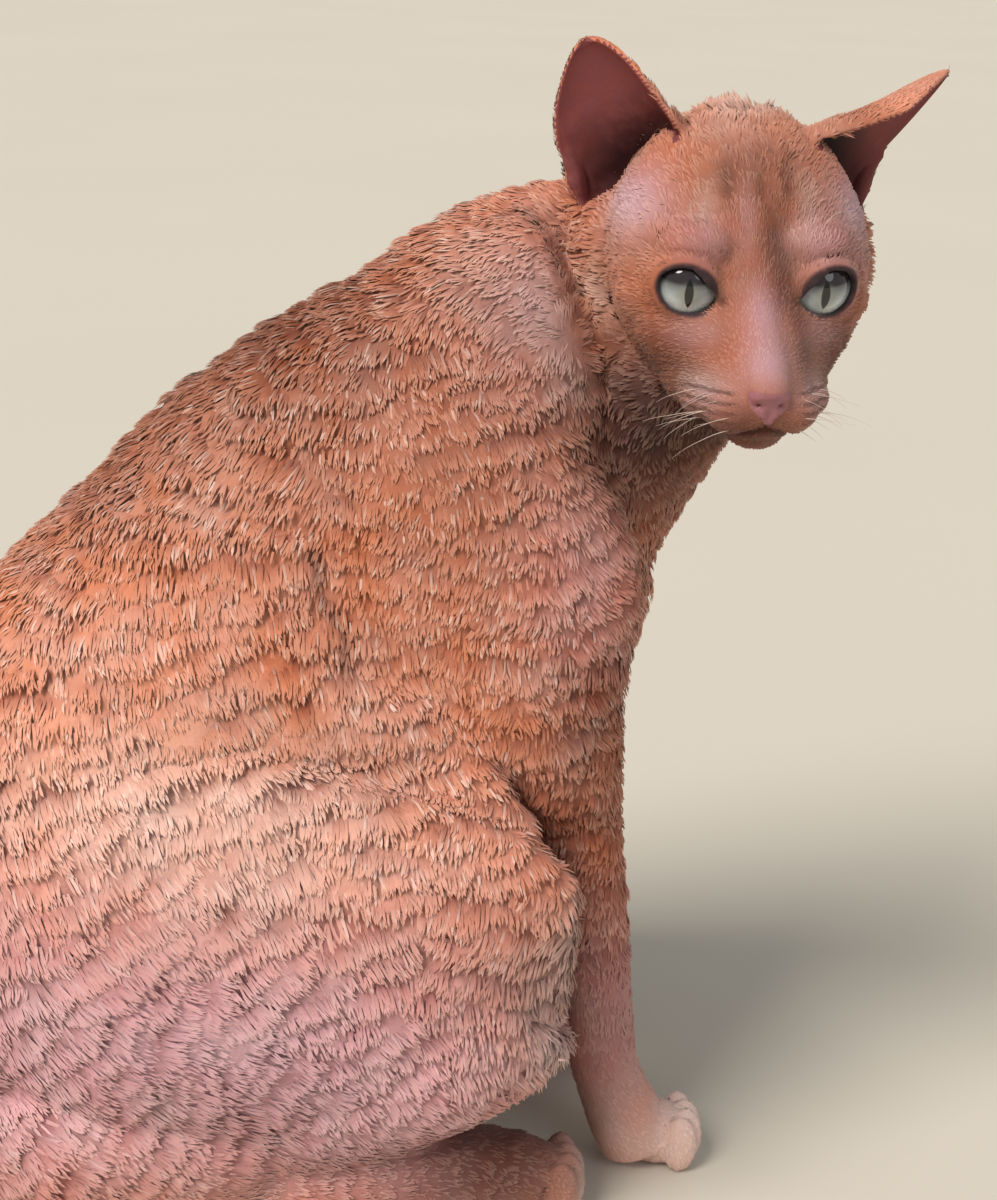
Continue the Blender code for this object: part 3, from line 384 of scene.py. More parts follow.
# The middle of the head's markings and how far they reach, in the head's space on Blender's axes.
HEAD_MARKS = ((0, 26, 0), (52, 62, 56))

# Soft-edged markings on the coat: centre, radii, strength. The dark brown rows also hold painted shade,
# where a comment says so. They repeat on both sides, except where a row says that it stands alone.
RUST = [
    ((0, 76, 268), (48, 52, 34), 0.97),
    ((0, 10, 232), (46, 60, 34), 0.85),
    ((0, -60, 170), (40, 50, 60), 0.6),
    ((-44, 160, 130), (22, 26, 42), 0.85),
    ((-40, 168, 70), (20, 22, 34), 0.6),
    ((-30, 178, 222), (30, 22, 44), 0.7),
    ((-52, 164, 186), (16, 18, 26), 0.6),
    ((-46, 118, 240), (26, 26, 40), 0.5),
    ((-60, 130, 16), (22, 40, 18), 0.9),
    ((-62, 96, 148), (14, 30, 14), 0.35),
]
UMBER_AND_SHADE = [
    # The next three rows darken the throat and the neck under the chin: painted shadow of the head, over a
    # somewhat darker brown throat.
    ((-32, 174, 251), (22, 30, 22), 1.0),
    ((-30, 176, 250), (16, 18, 14), 0.8),
    ((0, 182, 246), (30, 16, 30), 0.7),
    ((0, 74, 268), (34, 50, 26), 0.5),
    ((0, 10, 240), (44, 60, 30), 0.2),
    ((-62, 134, 20), (22, 32, 16), 0.95),
    ((-50, 156, 128), (9, 9, 40), 0.25),
    ((-46, 160, 172), (20, 16, 22), 0.45),
    ((-80, 148, 92), (16, 18, 30), 0.45),
    ((-30, 140, 286), (26, 26, 26), 0.22),
    ((-36, 170, 50), (18, 18, 30), 0.25),
    ((-66, 60, 36), (30, 80, 24), 0.25),
    ((-45, 100, 230), (30, 60, 50), 0.12),
    # Painted shade under the belly, between the legs.
    ((0, 120, 60), (40, 60, 50), 0.4),
    # Painted shadow under the chin on the near side.
    ((-70, 197, 256), (11, 15, 9), 0.9, "alone"),
]
CREAM = [
    ((-66, 30, 150), (22, 60, 22), 0.34),
    ((-72, 66, 130), (22, 44, 20), 0.3),
    ((-34, 200, 12), (20, 16, 24), 0.97),
    ((26, 185, 12), (18, 16, 22), 0.97, "alone"),
    ((-58, 170, 12), (20, 11, 20), 0.9),
    ((-80, 152, 106), (12, 9, 12), 0.5),
    ((-77, 150, 76), (14, 9, 16), 0.7),
    ((0, 100, 90), (30, 60, 60), 0.3),
    ((-24, 136, 292), (18, 18, 16), 0.2),
    ((-30, 152, 276), (12, 12, 16), 0.4),
]
LILAC = [
    ((-76, 50, 76), (40, 90, 44), 0.8),
    ((-66, 90, 50), (36, 50, 40), 0.6),
    ((-34, 200, 12), (18, 20, 24), 0.15),
    ((-62, -30, 60), (40, 60, 50), 0.65),
    ((-38, 172, 56), (18, 22, 36), 0.4),
    ((-50, 154, 210), (14, 18, 30), 0.35),
    ((-26, 145, 284), (18, 20, 24), 0.35),
]
HEAD_RUST = [
    ((0, -10, -10), (60, 70, 60), 0.4),
    ((-24, -4, -21), (9, 12, 6), 0.9),
    ((-8.2, -16, 23.5), (2.2, 7, 7), 0.8),
    ((0.5, -14, 22), (2.0, 7, 6), 0.6, "alone"),
    ((4, -6, 11), (4, 8, 10), 1.0, "alone"),
    ((6.5, 1, 0), (4, 8, 9), 1.0, "alone"),
    ((11.5, 9, -17), (4, 9, 8), 0.8, "alone"),
    ((-10.5, 6, -14), (2.6, 6, 6), 0.5, "alone"),
    ((-34, -40, -24), (16, 22, 12), 0.4),
    ((-48, -50, 36), (18, 22, 24), 0.7),
]
HEAD_UMBER_AND_SHADE = [
    # The next three rows darken the underside of the jaw, the chin and the lower sides of the jaw: painted
    # shadow under the head.
    ((0, -20, -46), (30, 34, 9), 0.9),
    ((0, 14, -41), (13, 14, 6), 0.9),
    ((-30, -16, -40), (14, 18, 9), 0.9),
    ((0, -18, 26), (17, 10, 9), 0.3),
    ((0.5, -14, 22), (2, 7, 6), 0.3, "alone"),
    ((0, 0, 0), (60, 60, 60), 0.33),
    ((4, -6, 11), (3.4, 8, 10), 0.55, "alone"),
    ((6.5, 1, 0), (3.6, 8, 9), 0.6, "alone"),
    ((11.5, 9, -17), (4, 9, 8), 0.4, "alone"),
    ((-8.2, -16, 23.5), (2, 7, 7), 0.3),
    ((-46, -48, 36), (20, 24, 24), 0.4),
    ((0, 14, -33), (16, 16, 8), 0.42),
    ((-24, -6, -25), (15, 18, 9), 0.55),
    ((-10.6, 1, -4.8), (1.8, 3, 1.8), 0.8),
    ((10.5, 3, -8), (3, 5, 7), 0.5, "alone"),
    # Painted shade on the far cheek, the side turned from the light.
    ((26, -6, -14), (10, 16, 14), 0.3, "alone"),
    ((-7, 12, -38), (12, 12, 2.4), 0.5),
]
HEAD_CREAM = [
    ((-14, -12, 18), (3, 8, 8), 0.2),
    ((14, -12, 16), (3, 8, 8), 0.16),
    # Painted highlight on the temples beside the ears.
    ((-31, -27, 14), (7, 9, 5), 0.85),
    ((-14, 8, -26), (8, 9, 4), 0.5),
    ((0, -46, 40), (16, 14, 8), 0.5),
    ((-36, -34, -14), (8, 10, 10), 0.4),
]
HEAD_LILAC = [
    # Painted highlight on the temples beside the ears.
    ((-31, -27, 15), (11, 13, 9), 0.95),
    ((-16, -8, 9), (8, 9, 6), 0.6),
    ((0, 6, -8), (5.5, 14, 9), 0.75),
    ((0, 17, -18), (6.5, 8, 7), 0.85),
    ((-14, -2, -15), (10, 8, 5), 0.5),
    ((-12, 12, -30), (9, 9, 7), 0.5),
    ((26, -16, 4), (10, 14, 14), 0.4, "alone"),
    ((-3, -12, 14), (2.4, 7, 8), 0.45, "alone"),
]
# A deep crease down the flank, behind the shoulder; its dark line is painted shade.
FLANK_CREASE = [(-48, 79, 222), (-49, 81, 208), (-51, 87, 197), (-57, 89, 180)]
# Spacing of the bars round the forelegs and of the rings round the tail.
BAR_PITCH = 24.0
RING_PITCH = 40.0

# Where each piece of the coat is: the piece takes the tufts that are nearest to its places.
COAT_PIECES = {
    "trunk": {
        "coat_rump": [(0, -80, 110), (0, -60, 150)],
        "coat_back": [(0, 0, 215), (0, 60, 262)],
        "coat_flank_right": [(-64, 10, 185), (-66, 60, 170)],
        "coat_flank_left": [(64, 10, 185), (66, 60, 170)],
        "coat_haunch_right": [(-80, 20, 95), (-80, 80, 105), (-72, 120, 110)],
        "coat_haunch_left": [(80, 20, 95), (80, 80, 105), (72, 120, 110)],
        "coat_breech_right": [(-60, -20, 45), (-62, 50, 30)],
        "coat_breech_left": [(60, -20, 45), (62, 50, 30)],
        "coat_belly": [(0, 110, 90)],
    },
    "shoulders": {
        "coat_shoulder_right": [(-52, 112, 225), (-50, 130, 180)],
        "coat_shoulder_left": [(52, 112, 225), (50, 130, 180)],
        "coat_neck": [(0, 130, 300), (-20, 160, 270)],
        "coat_chest": [(0, 184, 225), (0, 178, 175)],
    },
    "legs": {
        "fur_foreleg_right": [(-40, 162, 130), (-35, 170, 70), (-34, 195, 15)],
        "fur_foreleg_left": [(36, 155, 130), (28, 156, 70), (26, 180, 15)],
        "fur_shank_right": [(-66, 100, 50), (-58, 110, 14), (-58, 160, 12)],
        "fur_shank_left": [(66, 100, 50), (58, 110, 14), (58, 160, 12)],
        "fur_tail": [(0, -100, 16), (60, -124, 10), (110, -76, 9), (112, -20, 8), (95, 30, 5)],
    },
}
HEAD_PIECES = {
    "fur_crown": [(0, -50, 36), (0, -60, 10)],
    "fur_forehead": [(0, -22, 26)],
    "fur_cheek_right": [(-30, -30, -16), (-30, -30, 16)],
    "fur_cheek_left": [(30, -30, -16), (30, -30, 16)],
    "fur_muzzle": [(0, 10, -18), (0, 8, -38)],
    "fur_throat": [(0, -24, -40)],
}

# What the coat and the whiskers need to know of the skin, once it is made.
made_skin = {}


def at(place):
    left, forward, up = place
    return Vector((left, -forward, up)) * MM


def mirrored(stations):
    return [((-left, forward, up), a, b) for (left, forward, up), a, b in stations]


def head_frame():
    turn = Matrix.Rotation(-HEAD_TURN, 4, "Z") @ Matrix.Rotation(HEAD_NOD, 4, "X")
    return Matrix.Translation(at(HEAD_PLACE)) @ turn


def eye_place(side):
    left, forward, up = EYE_PLACE
    return side * left, forward, up


def lid_turn(side):
    """The turn from the head's axes to one eye's: y against the gaze, x along the lids."""
    turn = Matrix.Rotation(side * EYE_OUTWARD, 4, "Z") @ Matrix.Rotation(-side * LID_SLANT, 4, "Y")
    return turn.to_3x3()


def design_shift():
    """The way from the design origin to the frame's, read from where the right eye is."""
    low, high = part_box("eye_right")
    return (low + high) / 2 - head_frame() @ at(eye_place(-1))


def linear(colour):
    """A linear colour from an sRGB hex value."""
    parts = [int(colour[i:i + 2], 16) / 255 for i in (1, 3, 5)]
    return (*[c / 12.92 if c <= 0.04045 else ((c + 0.055) / 1.055) ** 2.4 for c in parts], 1.0)


def add(tree, kind, inputs=(), **settings):
    """Adds a node with its settings; each input is a value or the socket that feeds it."""
    node = tree.nodes.new(kind)
    for name, value in settings.items():
        setattr(node, name, value)
    for socket, source in dict(inputs).items():
        if isinstance(source, bpy.types.NodeSocket):
            tree.links.new(source, node.inputs[socket])
        else:
            node.inputs[socket].default_value = source
    return node


def new_material(name):
    made = bpy.data.materials.new(name)
    made.use_nodes = True
    made.node_tree.nodes.clear()
    return made, made.node_tree


def linked(name, data):
    """A new object in the scene that shows the data."""
    obj = bpy.data.objects.new(name, data)
    bpy.context.scene.collection.objects.link(obj)
    return obj


def new_object(name, bm):
    mesh = bpy.data.meshes.new(name)
    bm.to_mesh(mesh)
    bm.free()
    return linked(name, mesh)


def remove(obj):
    mesh = obj.data
    bpy.data.objects.remove(obj)
    bpy.data.meshes.remove(mesh)


def apply_modifiers(obj):
    graph = bpy.context.evaluated_depsgraph_get()
    mesh = bpy.data.meshes.new_from_object(obj.evaluated_get(graph))
    old = obj.data
    obj.modifiers.clear()
    obj.data = mesh
    bpy.data.meshes.remove(old)


def finish_piece(obj, slot, *nodes):
    """Moves a finished mesh to the frame's place, hangs it on the root and hides the parts it replaces."""
    obj.data.transform(Matrix.Translation(design_shift()))
    obj.data.name = obj.name
    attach(obj, "root")
    if nodes:
        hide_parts(*nodes)


def catmull(a, b, c, d, t):
    return 0.5 * (2 * b + (c - a) * t + (2 * a - 5 * b + 4 * c - d) * t * t + (3 * b - a - 3 * c + d) * t**3)


def along(values, place):
    """A smooth value at a fractional place on a list of numbers or vectors."""
    last = len(values) - 1
    index = min(int(place), last - 1)
    before = values[max(index - 1, 0)]
    after = values[min(index + 2, last)]
    return catmull(before, values[index], values[index + 1], after, place - index)


def bridged_rings(bm, matrices, segments=RING, shape=None):
    """A closed tube through one flat ring for each matrix; shape changes the unit circle."""
    loops = []
    for number, matrix in enumerate(matrices):
        ends = number in (0, len(matrices) - 1)
        ring = bmesh.ops.create_circle(bm, cap_ends=ends, segments=segments, radius=1.0)
        for vert in ring["verts"]:
            spot = shape(vert.co) if shape else vert.co
            vert.co = matrix @ spot
        own = set(ring["verts"])
        loops.append([e for v in ring["verts"] for e in v.link_edges if set(e.verts) <= own])
    for one, two in zip(loops, loops[1:]):
        bmesh.ops.bridge_loops(bm, edges=list(dict.fromkeys(one + two)))
    bmesh.ops.recalc_face_normals(bm, faces=bm.faces)


def ring_matrix(centre, across, up):
    normal = across.cross(up).normalized() * MM
    columns = Matrix((across, up, normal)).transposed().to_4x4()
    return Matrix.Translation(centre) @ columns


def ringed(name, matrices, segments=RING, shape=None):
    """A new object: the closed tube through these rings."""
    bm = bmesh.new()
    bridged_rings(bm, matrices, segments, shape)
    return new_object(name, bm)


def tube(name, stations, inset=0.0):
    """A smooth tube of oval section; its half depth lies in the plane of up and forward."""
    places = [at(place) for place, _, _ in stations]
    widths = [width - inset for _, width, _ in stations]
    depths = [depth - inset for _, _, depth in stations]
    final = len(stations) - 1
    count = final * STEPS + 1
    matrices = []
    side = None
    for number in range(count):
        t = final * number / (count - 1)
        ahead = along(places, min(t + 0.05, final)) - along(places, max(t - 0.05, 0))
        ahead.normalize()
        if side is None:
            level = Vector((0, 0, 1)) if abs(ahead.x) > 0.8 else Vector((1, 0, 0))
            side = level - ahead * level.dot(ahead)
        side = (side - ahead * side.dot(ahead)).normalized()
        up = ahead.cross(side)
        across = side * along(widths, t) * MM
        matrices.append(ring_matrix(along(places, t), across, up * along(depths, t) * MM))
    return ringed(name, matrices)


def trunk(name, inset):
    tops = [at((0, *top)) for top, _, _ in TRUNK]
    bottoms = [at((0, *bottom)) for _, bottom, _ in TRUNK]
    widths = [width for _, _, width in TRUNK]
    matrices = []
    for number in range((len(TRUNK) - 1) * STEPS + 1):
        t = number / STEPS
        top, bottom = along(tops, t), along(bottoms, t)
        up = (top - bottom) / 2
        up *= 1 - inset * MM / up.length
        across = Vector(((along(widths, t) - inset) * MM, 0, 0))
        matrices.append(ring_matrix((top + bottom) / 2, across, up))
    return ringed(name, matrices, 32)


def ball(name, centre, radii, inset=0.0, segments=24, turn=None):
    bm = bmesh.new()
    scale = Matrix.Diagonal([*((radius - inset) * MM for radius in radii), 1])
    matrix = Matrix.Translation(at(centre)) @ (turn or Matrix.Identity(4)) @ scale
    bmesh.ops.create_uvsphere(
        bm, u_segments=segments, v_segments=segments // 2 + 2, radius=1.0, matrix=matrix
    )
    return new_object(name, bm)


def remeshed(form, voxel, smoothing):
    """The form as one closed surface of even faces, softened by so many rounds."""
    remesh = form.modifiers.new("Remesh", "REMESH")
    remesh.mode = "VOXEL"
    remesh.voxel_size = voxel * MM
    smooth = form.modifiers.new("Soften", "SMOOTH")
    smooth.factor = 0.5
    smooth.iterations = smoothing
    apply_modifiers(form)
    return form


def blend(name, pieces, voxel, smoothing):
    """One closed form that flows over all the pieces."""
    bm = bmesh.new()
    for piece in pieces:
        bm.from_mesh(piece.data)
        remove(piece)
    return remeshed(new_object(name, bm), voxel, smoothing)


def thinned(form, triangles):
    """The form in about this many triangles, fewest where it is flat."""
    count = sum(len(face.vertices) - 2 for face in form.data.polygons)
    if count > triangles:
        thin = form.modifiers.new("Thin", "DECIMATE")
        thin.ratio = triangles / count
        apply_modifiers(form)
    return form


def boolean(obj, other, operation):
    cut = obj.modifiers.new(operation.title(), "BOOLEAN")
    cut.operation = operation
    cut.solver = "MANIFOLD"
    cut.object = other
    apply_modifiers(obj)
    remove(other)


def shifted_left(stations):
    """The left foreleg: the right one's mirror image, a little farther back towards the foot."""
    made = []
    for (left, forward, up), width, depth in stations:
        place = Vector((-left, forward, up)) + LEFT_FOOT_SHIFT * min(max(170 - up, 0) / 86, 1.0)
        made.append((tuple(place), width, depth))
    return made


def body_form(depth, leg_depth, voxel):
    """Trunk, neck, shoulders, legs and tail under the coat."""
    pieces = [trunk("trunk", depth)]
    for stations in (THROAT, NECK, NAPE):
        pieces.append(tube("neck", stations, depth * 0.7))
    for side in (SHOULDER, mirrored(SHOULDER)):
        pieces.append(tube("shoulder", side, depth * 0.7))
    for leg in (FORELEG, shifted_left(FORELEG)):
        pieces.append(tube("foreleg", leg, leg_depth))
    for stations in (THIGH, FLANK_FOLD, BREECH):
        for side in (stations, mirrored(stations)):
            pieces.append(tube("thigh", side, depth * 0.8))
    for stations in (SHANK, INSTEP):
        for side in (stations, mirrored(stations)):
            pieces.append(tube("shank", side, leg_depth))
    for side in (FLANK_FILL, mirrored(FLANK_FILL)):
        pieces.append(tube("flank", side, depth * 0.8))
    pieces.append(tube("tail", TAIL, leg_depth))
    for left in (-34, 34):
        ruff = ball("ruff", (left, -46, -7), (10, 15, 20))
        ruff.data.transform(head_frame())
        pieces.append(ruff)
    return blend("body", pieces, voxel, 9)


def paw(centre, heading, sizes):
    """The pieces of a foot with four toes, a sole and a back, pointing forward."""
    width, length, height = sizes
    turn = Matrix.Rotation(-heading, 4, "Z")
    base = Vector(centre)

    def place(side, ahead, up):
        spun = Matrix.Rotation(heading, 2) @ Vector((side, ahead))
        return (base.x + spun.x, base.y + spun.y, up)

    pieces = []
    for side, ahead in ((-0.62, 0.44), (-0.21, 0.56), (0.21, 0.56), (0.62, 0.44)):
        radii = (width * 0.27, length * 0.34, height * 0.42)
        spot = place(side * width, ahead * length, height * 0.42)
        pieces.append(ball("toe", spot, radii, 0, 24, turn))
    sole = (width * 0.76, length * 0.58, height * 0.44)
    pieces.append(ball("sole", place(0, 0.03 * length, height * 0.42), sole, 0, 24, turn))
    back = (width * 0.72, length * 0.5, height * 0.50)
    pieces.append(ball("back", place(0, -0.35 * length, height * 0.50), back, 0, 24, turn))
    return pieces


def forepaw(foot, voxel):
    left, forward = foot
    heading = math.radians(4 if left < 0 else -4)
    pieces = paw((left, forward + 14, 0), heading, (12, 17, 25))
    leg = [
        ((left - math.copysign(2, left), forward - 8, 48), 9.6, 10.2),
        ((left, forward - 3, 32), 10.4, 10.9),
        ((left, forward + 4, 16), 11.4, 12.4),
        ((left, forward + 8, 6), 10.6, 11.6),
    ]
    pieces.append(tube("wrist", leg))
    return blend("forepaw", pieces, voxel, 7)


def hindpaw(side, voxel):
    pieces = paw((side * 58, 150, 0), math.radians(-5 * side), (13, 17, 27))
    instep = [((side * abs(left), forward, up), w, d) for (left, forward, up), w, d in INSTEP[2:]]
    instep.append(((side * 58, 150, 12), 13, 12))
    pieces.append(tube("instep", instep, 1.2))
    return blend("hindpaw", pieces, voxel, 7)


def ear_spot(name, s, v):
    """A place on the middle of an ear's wall, in the head's space, in millimetres.

    s runs from -1 at the inner edge to 1 at the outer one, v from below 0 in the head to 1 at the tip.
    """
    inner, outer, tip, twist = EARS[name]
    inner, outer, tip = (Vector((l, -f, u)) for l, f, u in (inner, outer, tip))
    middle = (inner + outer) / 2
    side = (outer - inner) / 2
    rise = tip - middle
    back = side.cross(rise).normalized()
    if back.y < 0:
        back.negate()
    level = side - rise * side.dot(rise) / rise.length_squared
    high = max(v, 0.0)
    swell = EAR_SWELL[s < 0] * math.sin(math.pi * high)
    width = (1 - high**2.1) ** 0.66 * (1 + swell) + 0.03
    wrap = math.radians(105 - 60 * high)
    depth = EAR_DEPTH * (1 - high) ** 0.7
    angle = s * wrap
    across = side.lerp(level * side.length / level.length, min(1.0, high * 1.6))
    turn = Matrix.Rotation(twist * min(1.0, high * 1.8), 3, rise)
    bulge = (math.cos(angle) - math.cos(wrap)) / (1 - math.cos(wrap))
    reach = width * math.sin(angle) / math.sin(min(wrap, math.pi / 2))
    return middle + rise * v + turn @ across * reach + turn @ back * (depth * bulge + 3.0 * high * high)


def ear(name, wall):
    """A cupped shell with a rounded tip, whose root is sunk into the head, and its middle sheet."""
    bm = bmesh.new()
    grid = bmesh.ops.create_grid(bm, x_segments=EAR_GRID, y_segments=EAR_GRID, size=1.0)
    marks = []
    for vert in grid["verts"]:
        s, v = vert.co.x, (vert.co.y + 1) / 2 * (1 + EAR_SUNK) - EAR_SUNK
        marks.append((s, v))
        vert.co = ear_spot(name, s, v) * MM
    bmesh.ops.recalc_face_normals(bm, faces=bm.faces)
    obj = new_object(name, bm)
    obj.data.transform(head_frame())
    sheet = bpy.data.objects.new("sheet", obj.data.copy())
    solid = obj.modifiers.new("Wall", "SOLIDIFY")
    solid.thickness = wall * MM
    solid.offset = 0.0
    apply_modifiers(obj)
    places = np.array([v.co for v in sheet.data.vertices]) / MM
    faces = [list(face.vertices) for face in sheet.data.polygons]
    remove(sheet)
    tree = BVHTree.FromPolygons(places.tolist(), faces)
    # The middle of the sheet's places lies in the hollow of the cup.
    hollow = Vector(places.mean(0))
    spot, normal, _, _ = tree.find_nearest(hollow)
    facing = math.copysign(1.0, normal.dot(hollow - spot))
    return obj, {"places": places, "faces": faces, "marks": np.array(marks), "tree": tree, "facing": facing}


def lid_opening(side):
    """A flared plug that opens the lids in front of one eyeball, with a pointed inner corner."""
    across, tall = LID_OPENING
    centre = at(eye_place(side))
    gaze = lid_turn(side)

    def almond(spot):
        inner = max(0.0, -side * spot.x)
        outer = max(0.0, side * spot.x)
        x = spot.x * (1 + 0.15 * inner**3)
        y = spot.y * (1 - 0.3 * inner**3 - 0.1 * outer**3)
        if spot.y > 0:
            y *= 0.85 - 0.4 * inner
        return Vector((x, y - 0.1 * inner**3, 0))

    matrices = []
    for ahead, size in ((0.0, 0.8), (0.62, 0.96), (1.0, 1.04), (1.3, 1.16), (2.0, 1.6)):
        spot = centre + gaze @ Vector((0, -ahead * EYE_RADIUS * MM, 0))
        wide = gaze @ Vector((across * size * MM, 0, 0))
        high = gaze @ Vector((0, 0, tall * size * MM))
        matrices.append(ring_matrix(spot, wide, high))
    return ringed("lid_opening", matrices, 32, almond)


def skull(inset):
    """The long form of the head: oval sections, widest at the cheekbones."""
    matrices = []
    steps = 3
    for number in range((len(HEAD_SECTIONS) - 1) * steps + 1):
        forward, width, top, bottom = (
            along([section[i] for section in HEAD_SECTIONS], number / steps) for i in range(4)
        )
        centre = Vector((0, -forward, (top + bottom) / 2)) * MM
        across = Vector((max(width - inset, 1.0) * MM, 0, 0))
        matrices.append(ring_matrix(centre, across, Vector((0, 0, ((top - bottom) / 2 - inset) * MM))))
    return ringed("skull", matrices, 32)


def head_form(inset, voxel):
    """The head in its own space with open lids, eye sockets and nostrils."""
    pieces = [skull(inset)]
    pieces += [ball("chin", place, radii, inset) for place, radii in HEAD_BALLS]
    for (left, forward, up), radii in HEAD_PAIRS:
        for side in (-1, 1):
            pieces.append(ball("cheek", (side * left, forward, up), radii, inset))
    for side in (-1, 1):
        place = eye_place(side)
        pieces.append(ball("lids", place, (EYE_RADIUS + LID_COVER,) * 3))
    pieces.append(tube("nose", NOSE_BRIDGE, inset * 0.5))
    form = blend("head", pieces, voxel, 12)
    for side in (-1, 1):
        boolean(form, lid_opening(side), "DIFFERENCE")
        place = eye_place(side)
        boolean(form, ball("socket", place, (EYE_RADIUS + 0.15,) * 3, 0, 48), "DIFFERENCE")
        boolean(form, ball("nostril", (side * 3.1, 23.5, -27.4), (1.5, 4.0, 1.2), 0, 16), "DIFFERENCE")
        boolean(form, ball("nostril", (side * 4.9, 21.5, -26.8), (1.3, 3.0, 0.7), 0, 16), "DIFFERENCE")
    return remeshed(form, voxel, 2)


def vertex_array(mesh, name="co"):
    values = np.empty(len(mesh.vertices) * 3, np.float32)
    mesh.vertices.foreach_get(name, values)
    return values.reshape(-1, 3).astype(float)


def line_distance(points, line):
    """How far each point is from a line of straight runs."""
    best = np.full(len(points), np.inf)
    for one, two in zip(line, line[1:]):
        run = two - one
        share = np.clip(((points - one) @ run) / (run @ run), 0, 1)
        best = np.minimum(best, np.linalg.norm(points - (one + share[:, None] * run), axis=1))
    return best


def on_head(tree, line):
    """A finer line on the head's surface through the named points."""
    spots = [at(place) for place in line]
    fine = [along(spots, n / 6) for n in range((len(spots) - 1) * 6 + 1)]
    return np.array([tree.find_nearest(spot)[0] for spot in fine]) / MM


def mouth_lines(tree):
    whole = [*MOUTH_LINE, *[(-left, forward, up) for left, forward, up in MOUTH_LINE[-2::-1]]]
    return on_head(tree, whole), on_head(tree, PHILTRUM)


def sculpt_head(form):
    """Presses in the mouth line and the groove under the nose, and raises lips, nose and brows."""
    tree = BVHTree.FromObject(form, bpy.context.evaluated_depsgraph_get())
    mouth, philtrum = mouth_lines(tree)
    points = vertex_array(form.data) / MM
    normals = vertex_array(form.data, "normal")
    push = np.zeros(len(points))
    gap = line_distance(points, mouth)
    push += -1.5 * np.exp(-(gap / 0.85) ** 2) + 0.4 * np.exp(-((gap - 2.3) / 1.1) ** 2)
    gap = line_distance(points, philtrum)
    push += -0.8 * np.exp(-(gap / 0.7) ** 2)
    leather = nose_leather(points)
    push += 0.45 * leather
    rim = np.exp(-((leather - 0.5) / 0.22) ** 2) * (leather > 0.02)
    push -= 0.35 * rim
    crease = np.exp(-(((gaze_reach(points) - 1.42) / 0.12) ** 2)) * soft_step(points[:, 2], -1, 4)
    push -= 0.55 * crease
    for (left, forward, up), radii, height in FACE_SWELLS:
        for side in (-1, 1):
            off = (points - np.array((side * left, -forward, up))) / np.array(radii)
            push += height * np.exp(-(off * off).sum(1))
    moved = (points + normals * push[:, None]) * MM
    form.data.vertices.foreach_set("co", moved.astype(np.float32).ravel())
    form.data.update()
    return mouth, philtrum


def soft_step(values, low, high):
    share = np.clip((values - low) / (high - low), 0, 1)
    return share * share * (3 - 2 * share)


def nose_leather(points):
    """1 on the bare leather of the nose, 0 off it, in the head's space on Blender's axes."""
    left, forward, up = np.abs(points[:, 0]), -points[:, 1], points[:, 2]
    half = np.interp(up, [-34, -31, -28, -24.5, -22], [0.8, 1.8, 5.6, 6.2, 4.4])
    inside = soft_step(half - left, -0.4, 0.8)
    tall = soft_step(up, -34, -32.5) * soft_step(-up, 22.6, 24.4)
    return inside * tall * soft_step(forward, 16.5, 18.5)


def build_skin(body_depth, leg_depth, face_depth):
    """One closed skin over body, head, ears, feet and tail, and what the markings need to know."""
    body = thinned(body_form(body_depth, leg_depth, 1.9), 104000)
    head = head_form(face_depth, 0.8)
    mouth, philtrum = sculpt_head(head)
    thinned(head, 62000)
    head.data.transform(head_frame())
    pieces = [head]
    sheets = {}
    for name in EARS:
        made, sheets[name] = ear(name, EAR_WALL)
        pieces.append(made)
        low, high = (ear_spot(name, POUCH_ACROSS, v) for v in POUCH_SPAN)
        pouch = ball("pouch", (0, 0, 0), (*POUCH_RADII, (high - low).length / 2 + 2.2))
        turn = (high - low).to_track_quat("Z", "Y").to_matrix().to_4x4()
        pouch.data.transform(head_frame() @ Matrix.Translation((low + high) / 2 * MM) @ turn)
        pieces.append(pouch)
    for foot in FORE_FEET:
        pieces.append(thinned(forepaw(foot, 0.9), 5200))
    for side in (-1, 1):
        pieces.append(thinned(hindpaw(side, 0.9), 5200))
    graph = bpy.context.evaluated_depsgraph_get()
    trees = [BVHTree.FromObject(piece, graph) for piece in [body, *pieces]]
    for piece in pieces:
        boolean(body, piece, "UNION")
    bm = bmesh.new()
    bm.from_mesh(body.data)
    # Cuts off what reaches below the floor, and closes the cut.
    whole = bm.verts[:] + bm.edges[:] + bm.faces[:]
    cut = bmesh.ops.bisect_plane(
        bm, geom=whole, dist=1e-7, plane_co=(0, 0, 0), plane_no=(0, 0, -1), clear_outer=True
    )
    edges = [e for e in cut["geom_cut"] if isinstance(e, bmesh.types.BMEdge)]
    bmesh.ops.triangle_fill(bm, edges=edges, use_beauty=True, normal=(0, 0, -1))
    bmesh.ops.triangulate(bm, faces=bm.faces)
    bmesh.ops.recalc_face_normals(bm, faces=bm.faces)
    # Softens the joins, most where the head meets the body: rounds, and the vertices they take.
    joins = {10: [], 26: []}
    for vert in bm.verts:
        if vert.co.z > 2 * MM:
            close = [tree.find_nearest(vert.co, 5.5 * MM)[3] is not None for tree in trees[:2]]
            near = sum(tree.find_nearest(vert.co, 3.0 * MM)[0] is not None for tree in trees)
            if all(close):
                joins[26].append(vert)
            elif near > 1:
                joins[10].append(vert)
    for rounds, verts in joins.items():
        for _ in range(rounds):
            bmesh.ops.smooth_vert(
                bm, verts=verts, factor=0.5, use_axis_x=True, use_axis_y=True, use_axis_z=True
            )
    bm.to_mesh(body.data)
    bm.free()
    body.name = "skin"
    return body, sheets, mouth, philtrum


